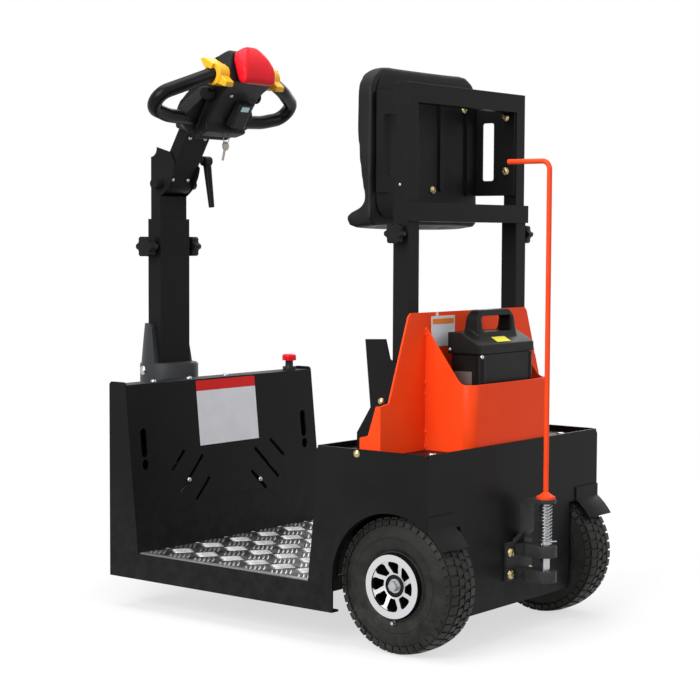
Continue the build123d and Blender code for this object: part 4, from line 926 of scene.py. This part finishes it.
def turned(bm, profile, radius, place, outward):
    """Profile of radius and height spun into a solid that faces outward."""
    matrix = Matrix.Translation(place) @ facing(outward)
    points = [bm.verts.new(matrix @ Vector((r * radius, 0, h * radius))) for r, h in profile]
    edges = [bm.edges.new(pair) for pair in zip(points, points[1:])]
    bmesh.ops.spin(bm, geom=points + edges, cent=place, axis=Vector(outward).normalized(), angle=2 * math.pi,
                   steps=24, use_merge=True, use_duplicate=False)


def fastener(bm, kind, place, outward, radius):
    """Turned head, or a hexagon on a washer, that stands on a face."""
    if kind != "hex":
        turned(bm, HEADS[kind], radius, place, outward)
        return
    turned(bm, HEADS["washer"], radius * 1.25, place, outward)
    made = add_rod(bm, radius, radius, radius * 0.8, Matrix.Translation(place) @ facing(outward), segments=6)
    round_off(bm, made["verts"], radius * 0.08)


def both(kind, x, y, z, outward, radius):
    """The same fastener on the left and, mirrored, on the right."""
    mirrored = (outward[0], -outward[1], outward[2])
    return [(kind, spot(x, y, z), outward, radius), (kind, spot(x, -y, z), mirrored, radius)]


# %% The tiller's own frame
TILLER_LEAN = math.radians(30)
TILLER_PIN = spot(830, 0, 883)
STEM_FORWARD = Vector((math.cos(TILLER_LEAN), 0, math.sin(TILLER_LEAN)))
STEM_UP = Vector((-math.sin(TILLER_LEAN), 0, math.cos(TILLER_LEAN)))


def on_tiller(x, y, z):
    """Point from millimetres forward of the leaning stem, left of it and up along it."""
    return TILLER_PIN + (STEM_FORWARD * x + Vector((0, y, 0)) + STEM_UP * z) * MM


print("tiller pin at", TILLER_PIN[:])

# %% Fasteners
SHIELD_REAR = (-1, 0, SHIELD_SLOPE)
HEAD_REAR = (-0.723, 0, -0.691)  # the tiller head's sloping rear face
FASTENERS = {  # piece: body, finish, rows of kind, place, the way it faces and radius in millimetres
    "brass_screws_seat": ("seat", brass_screw, [
        *both("pan", 136, 123, 1026, BACK, 8.0), ("pan", spot(136, -15, 862), BACK, 8.0),
        *both("pan", 61, 164.5, 1010, RIGHT, 9.0), *both("pan", 60, 164.5, 902, RIGHT, 9.0),
        *both("dome", 57, 199.5, 866.5, LEFT, 3.0),
    ]),
    "brass_screws_chassis": ("chassis", brass_screw, [
        *both("dome", 93, 206, 458, LEFT, 8.0), *both("dome", 78, 300, 369, LEFT, 7.5),
        *both("pan", -88, 34, 167, BACK, 9.5), *both("pan", -88, 34, 125, BACK, 9.5),
    ]),
    "zinc_screws_chassis": ("chassis", zinc, [
        *both("hex", -40, 225, 366, UP, 8.0),
        ("pan", on_shield(133, 251.5), SHIELD_REAR, 5.5), ("pan", on_shield(-94, 229), SHIELD_REAR, 5.5),
        *[("pan", spot(703, y, 462), UP, 6.0) for y in (195, 86, -30, -257)],
        ("pan", spot(6, 105, 556), LEFT, 3.5), ("pan", spot(6, -85, 556), RIGHT, 3.5),
    ]),
    "zinc_screws_steering": ("steering", zinc, both("dome", 866, 61.5, 470, (0.32, 1, 0), 10.5)),
    "zinc_rivets_tiller": ("tiller", zinc, [
        *[("dome", on_tiller(-14, y, z), -STEM_FORWARD, 4.8) for z in (18, 122) for y in (24, -24)],
        ("dome", on_tiller(-78, 26, 257), HEAD_REAR, 4.2),
    ]),
}
for name, (body, finish, rows) in FASTENERS.items():
    bm = bmesh.new()
    for kind, place, outward, radius in rows:
        fastener(bm, kind, place, outward, radius * MM)
    piece_from(bm, name, body, finish, smooth=40)
    print(name, len(rows))

# %% [markdown]
# ## Tow pin hardware
#
# A split pin holds the collar that the spring's foot pushes on. It is one bent wire
# with splayed ends. A curve with a round bevel makes wire quickest, and it
# becomes a mesh at once, like every other piece.

# %% Split pin
def wire(name, points, radius, body, material, steps=8):
    """Round wire through the points, as a mesh."""
    curve = bpy.data.curves.new(name, "CURVE")
    curve.dimensions = "3D"
    curve.bevel_depth = radius
    curve.bevel_resolution = 3
    curve.use_fill_caps = True
    curve.resolution_u = steps
    line = curve.splines.new("BEZIER")
    line.bezier_points.add(len(points) - 1)
    for knot, point in zip(line.bezier_points, points):
        knot.co = point
        knot.handle_left_type = knot.handle_right_type = "AUTO"
    holder = bpy.data.objects.new(name, curve)
    bpy.context.scene.collection.objects.link(holder)
    mesh = bpy.data.meshes.new_from_object(holder.evaluated_get(bpy.context.evaluated_depsgraph_get()))
    bpy.data.objects.remove(holder)
    bm = bmesh.new()
    bm.from_mesh(mesh)
    return piece_from(bm, name, body, material, smooth=60)


PIN_X, COLLAR_TOP = -145.5, 189.0
WIRE_BELOW = 1.2
SPLIT_PIN = ((-6, 22), (-1, 17), (0, 11), (0, -14), (-3, -22), (-8, -28))  # forward of the pin, left
route = [spot(PIN_X + x, y, COLLAR_TOP - WIRE_BELOW) for x, y in SPLIT_PIN]
wire("split_pin", route, 1.4 * MM, "tow_pin", zinc)
print("split pin made")

# %% [markdown]
# ## Key and charge display
#
# The key hangs from the switch under the tiller head on a wire ring. The display's
# window is a small lit panel: a plate with a soft glow, blank because no reading
# belongs to a stored part.

# %% Key
RING_RADIUS, RING_WIRE, RING_STEPS = 8 * MM, 0.9 * MM, 12
BOW_RADIUS, BOW_THICKNESS, BOW_DROP = 10 * MM, 2.6 * MM, 14 * MM
BLADE_SIZE, BLADE_DROP = (2.2 * MM, 6 * MM, 26 * MM), 20 * MM
KEY_SWING = 0.30  # radians off the vertical
ring_centre = on_tiller(-72, -20, 152)
ring = []
for step in range(RING_STEPS + 1):
    angle = 2 * math.pi * step / RING_STEPS
    ring.append(ring_centre + Vector((math.sin(angle) * RING_RADIUS, 0.2 * MM * math.cos(angle),
                                      math.cos(angle) * RING_RADIUS)))
wire("key_ring", ring, RING_WIRE, "tiller", key_nickel, steps=6)
bm = bmesh.new()
bow = Matrix.Translation(ring_centre - Vector((0, 0, BOW_DROP))) @ Matrix.Rotation(KEY_SWING, 4, "X")
add_rod(bm, BOW_RADIUS, BOW_RADIUS, BOW_THICKNESS, bow @ Matrix.Rotation(math.pi / 2, 4, "Y"), segments=24)
add_box(bm, BLADE_SIZE, bow @ Matrix.Translation((BOW_THICKNESS / 2, 0, -BLADE_DROP)), bevel=0.6 * MM)
piece_from(bm, "key", "tiller", key_nickel)
print("key made")

# %% Display window
screen_glow = surface("display window", (0.30, 0.42, 0.42), (0.45, 0.58, 0.58), 0.25,
                      patch_scale=120.0, grain=900.0, bump=0.0)
screen_shader = screen_glow.node_tree.nodes["Principled BSDF"]
screen_shader.inputs["Emission Color"].default_value = (0.5, 0.75, 0.75, 1)
screen_shader.inputs["Emission Strength"].default_value = 0.25
label("display_window", "tiller", screen_glow, 24, 11,
      on_face(on_tiller(-90, -19, 234), RIGHT, STEM_UP))
print("display window made")

# %% [markdown]
# ## Rubber boots under the grips
#
# A ribbed boot seals each side switch of the head. Its ribs are a zigzag profile
# spun round the switch's axis, which lies across the tiller.

# %% Boots
BOOT_RADIUS = 14 * MM
RIBS, RIB_PITCH = 4, 0.36  # the profile's numbers are shares of the boot's radius
profile = [(0.0, 1.9)]
for rib in range(RIBS):
    drop = RIB_PITCH * rib
    profile += [(0.86 - 0.05 * rib, 1.86 - drop), (1.0, 1.70 - drop), (1.0, 1.62 - drop), (0.80, 1.50 - drop)]
profile += [(1.0, 0.0), (0.0, 0.0)]
bm = bmesh.new()
for side in (1, -1):
    turned(bm, profile, BOOT_RADIUS, on_tiller(-54, side * 59, 249), (0, side, 0))
piece_from(bm, "side_switch_boots", "tiller", grip_rubber, smooth=30)
print("boots: 2")

# %% [markdown]
# ## Battery case details
#
# Rounded pillars run up the case's rear corners and take the lid's screws. The case's
# left side has a brownish window. The holder's corner seam is stitched with short
# welds: a flattened sphere, half sunk in the seam, makes a low bead under the paint.

# %% Battery pillars
PILLAR_RADIUS, PILLAR_INSET = 9 * MM, 7 * MM
PILLAR_GAP = 1 * MM  # left free at the case's top and bottom
case_low, case_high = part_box("battery_case")
pillars, screws = bmesh.new(), bmesh.new()
for edge, side in ((case_high.y, 1), (case_low.y, -1)):
    foot = (case_low.x + PILLAR_INSET, edge - side * PILLAR_INSET, case_low.z + PILLAR_GAP)
    add_rod(pillars, PILLAR_RADIUS, PILLAR_RADIUS, case_high.z - case_low.z - 2 * PILLAR_GAP,
            Matrix.Translation(foot), segments=32)
    corner = Vector((case_low.x - 2 * MM, edge + side * 2 * MM, case_high.z - 4 * MM))
    fastener(screws, "dome", corner, (-0.7, 0.7 * side, 0), 4 * MM)
piece_from(pillars, "battery_pillars", "chassis", battery_plastic, smooth=40)
piece_from(screws, "battery_screws", "chassis", zinc, smooth=40)
label("battery_window", "chassis", brown_panel, 40, 118,
      on_face(spot(-20, 98, 456), BACK, UP))
print("battery pillars, screws and window made")

# %% Welds
WELD_X, WELD_Y = 30.5, 149.5
WELD_HEIGHTS = (594, 586, 494, 473, 400, 372)
BEAD = Matrix.Diagonal((6 * MM, 6 * MM, 11 * MM, 1))
bm = bmesh.new()
for z in WELD_HEIGHTS:
    bmesh.ops.create_uvsphere(bm, u_segments=12, v_segments=8, radius=0.5,
                              matrix=Matrix.Translation(spot(WELD_X, WELD_Y, z)) @ BEAD)
piece_from(bm, "holder_welds", "chassis", orange_paint, smooth=60)
print("weld beads:", len(WELD_HEIGHTS))

# %% [markdown]
# ## Rounded mouldings
#
# The tiller head, its red pad, the yellow switches, the clamp lever and the battery
# lid are mouldings, and their edges flow into each other. A bevel can't do that where
# many faces meet in one corner. Remeshing the CAD piece into even cells and smoothing
# them a few times melts every edge alike, by about as much as the cells are wide.

# %% Mouldings
MOULDINGS = (  # node, body, finish, slot, cell in millimetres, passes
    ("belly_button", "tiller", red_plastic, "red_plastic", 2.4, 40),
    ("tiller_head", "tiller", black_plastic, "black_plastic", 2.2, 9),
    ("thumb_switches", "tiller", yellow_plastic, "yellow_plastic", 1.0, 6),
    ("clamp_lever", "tiller", black_plastic, "black_plastic", 1.0, 6),
    ("battery_lid", "chassis", battery_plastic, "battery_plastic", 1.8, 6),
)
for node, body, finish, slot, cell, passes in MOULDINGS:
    soft = merged_copy(node, f"{node}_soft")
    even_cells(soft, cell * MM).use_smooth_shade = True
    melt_edges(soft, passes)
    apply_modifiers(soft)
    soft.data.materials.clear()
    soft.data.materials.append(finish)
    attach(soft, body)
    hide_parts(node)
    print(node, "faces:", len(soft.data.polygons))

# %% [markdown]
# ## Studio: floor, background, lamps, camera
#
# The tug stands on a pale floor that runs into a white background. The floor is plain
# diffuse, so the tug's shadow falls on it. On top of that it glows, but only to the
# rays that show a background: camera, mirror and glass rays. The glow grows with
# distance until the floor is plain white, so no horizon shows. The world is white to
# the same rays, and so neither of them lights the tug. A large lamp on the left is the
# key, weaker ones fill the back and the right, and a broad one lights the top faces.

# %% White to the eye
def seen_mask(tree):
    """1 on the rays that show a background: camera, mirror and glass rays."""
    path = add(tree, "ShaderNodeLightPath")
    either = add(tree, "ShaderNodeMath", operation="MAXIMUM")
    tree.links.new(path.outputs["Is Camera Ray"], either.inputs[0])
    tree.links.new(path.outputs["Is Transmission Ray"], either.inputs[1])
    seen = add(tree, "ShaderNodeMath", operation="MAXIMUM")
    tree.links.new(either.outputs["Value"], seen.inputs[0])
    tree.links.new(path.outputs["Is Glossy Ray"], seen.inputs[1])
    return seen.outputs["Value"]


# %% Floor
FLOOR_SIZE = 40.0
bm = bmesh.new()
bmesh.ops.create_grid(bm, x_segments=1, y_segments=1, size=FLOOR_SIZE / 2)
floor_mesh = bpy.data.meshes.new("studio_floor")
bm.to_mesh(floor_mesh)
bm.free()
floor = bpy.data.objects.new("studio_floor", floor_mesh)
bpy.context.scene.collection.objects.link(floor)
print("floor:", FLOOR_SIZE, "m")

# %% Floor finish
FLOOR_NEAR, FLOOR_FAR = 0.9, 2.4  # metres from the tug where the fade to white starts and ends
FLOOR_GREY, FLOOR_GLOW = 0.30, 0.64
floor_material = bpy.data.materials.new("pale floor")
floor_material.use_nodes = True
tree = floor_material.node_tree
shader = tree.nodes["Principled BSDF"]
shader.inputs["Roughness"].default_value = 0.9
shader.inputs["Specular IOR Level"].default_value = 0.0
shader.inputs["Emission Color"].default_value = (1, 1, 1, 1)
place = add(tree, "ShaderNodeTexCoord")
reach = add(tree, "ShaderNodeVectorMath", operation="LENGTH")
far = add(tree, "ShaderNodeMapRange", in_From_Min=FLOOR_NEAR, in_From_Max=FLOOR_FAR)
tree.links.new(place.outputs["Object"], reach.inputs[0])
tree.links.new(reach.outputs["Value"], far.inputs["Value"])
pale = add(tree, "ShaderNodeMix", data_type="RGBA", in_A=(FLOOR_GREY, FLOOR_GREY, FLOOR_GREY, 1),
           in_B=(0, 0, 0, 1))
tree.links.new(far.outputs["Result"], pale.inputs["Factor"])
tree.links.new(pale.outputs["Result"], shader.inputs["Base Color"])
glow = add(tree, "ShaderNodeMapRange", in_To_Min=FLOOR_GLOW, in_To_Max=1.0)
tree.links.new(far.outputs["Result"], glow.inputs["Value"])
lift = add(tree, "ShaderNodeMath", operation="MULTIPLY")
tree.links.new(glow.outputs["Result"], lift.inputs[0])
tree.links.new(seen_mask(tree), lift.inputs[1])
tree.links.new(lift.outputs["Value"], shader.inputs["Emission Strength"])
floor_mesh.materials.append(floor_material)
print("floor is plain white from", FLOOR_FAR, "m")

# %% World
WORLD_LIGHT = 0.60
world = bpy.data.worlds.new("studio")
bpy.context.scene.world = world
world.use_nodes = True
tree = world.node_tree
soft_light = tree.nodes["Background"]
soft_light.inputs["Strength"].default_value = WORLD_LIGHT
soft_light.inputs["Color"].default_value = (1, 1, 1, 1)
white = add(tree, "ShaderNodeBackground", in_Color=(1, 1, 1, 1), in_Strength=1.0)
chosen = add(tree, "ShaderNodeMixShader")
tree.links.new(seen_mask(tree), chosen.inputs["Fac"])
tree.links.new(soft_light.outputs["Background"], chosen.inputs[1])
tree.links.new(white.outputs["Background"], chosen.inputs[2])
tree.links.new(chosen.outputs["Shader"], tree.nodes["World Output"].inputs["Surface"])
print("world light:", WORLD_LIGHT)

# %% Lamps
LAMP_AIM = Vector((0, 0, 0.5))
LAMPS = (  # name, place, size in metres, watts
    ("key_left", (-0.4, 3.6, 2.2), 2.4, 135), ("fill_back", (-3.6, -1.2, 2.0), 2.4, 26),
    ("top", (0.2, 0.3, 4.2), 3.0, 95), ("fill_right", (1.2, -3.6, 2.2), 2.6, 36),
)
for name, place, size, watts in LAMPS:
    lamp = bpy.data.lights.new(name, "AREA")
    lamp.shape = "SQUARE"
    lamp.size = size
    lamp.energy = watts
    holder = bpy.data.objects.new(name, lamp)
    holder.location = place
    holder.rotation_euler = (LAMP_AIM - Vector(place)).to_track_quat("-Z", "Y").to_euler()
    bpy.context.scene.collection.objects.link(holder)
    print("lamp:", name, watts, "W")

# %% Camera
CAMERA_PLACE = (-2.31339, 2.85447, 0.77097)
CAMERA_YAW, CAMERA_PITCH, CAMERA_ROLL = -51.88, -3.71, 0.26
lens = bpy.data.cameras.new("camera")
lens.sensor_width = 36.0
lens.lens = 90.75
camera = bpy.data.objects.new("camera", lens)
camera.matrix_world = (
    Matrix.Translation(CAMERA_PLACE)
    @ Matrix.Rotation(math.radians(CAMERA_YAW - 90), 4, "Z")
    @ Matrix.Rotation(math.radians(90 + CAMERA_PITCH), 4, "X")
    @ Matrix.Rotation(math.radians(CAMERA_ROLL), 4, "Z")
)
bpy.context.scene.collection.objects.link(camera)
bpy.context.scene.camera = camera
bpy.context.scene.view_settings.view_transform = "Standard"
print("camera:", lens.lens, "mm lens at", CAMERA_PLACE)
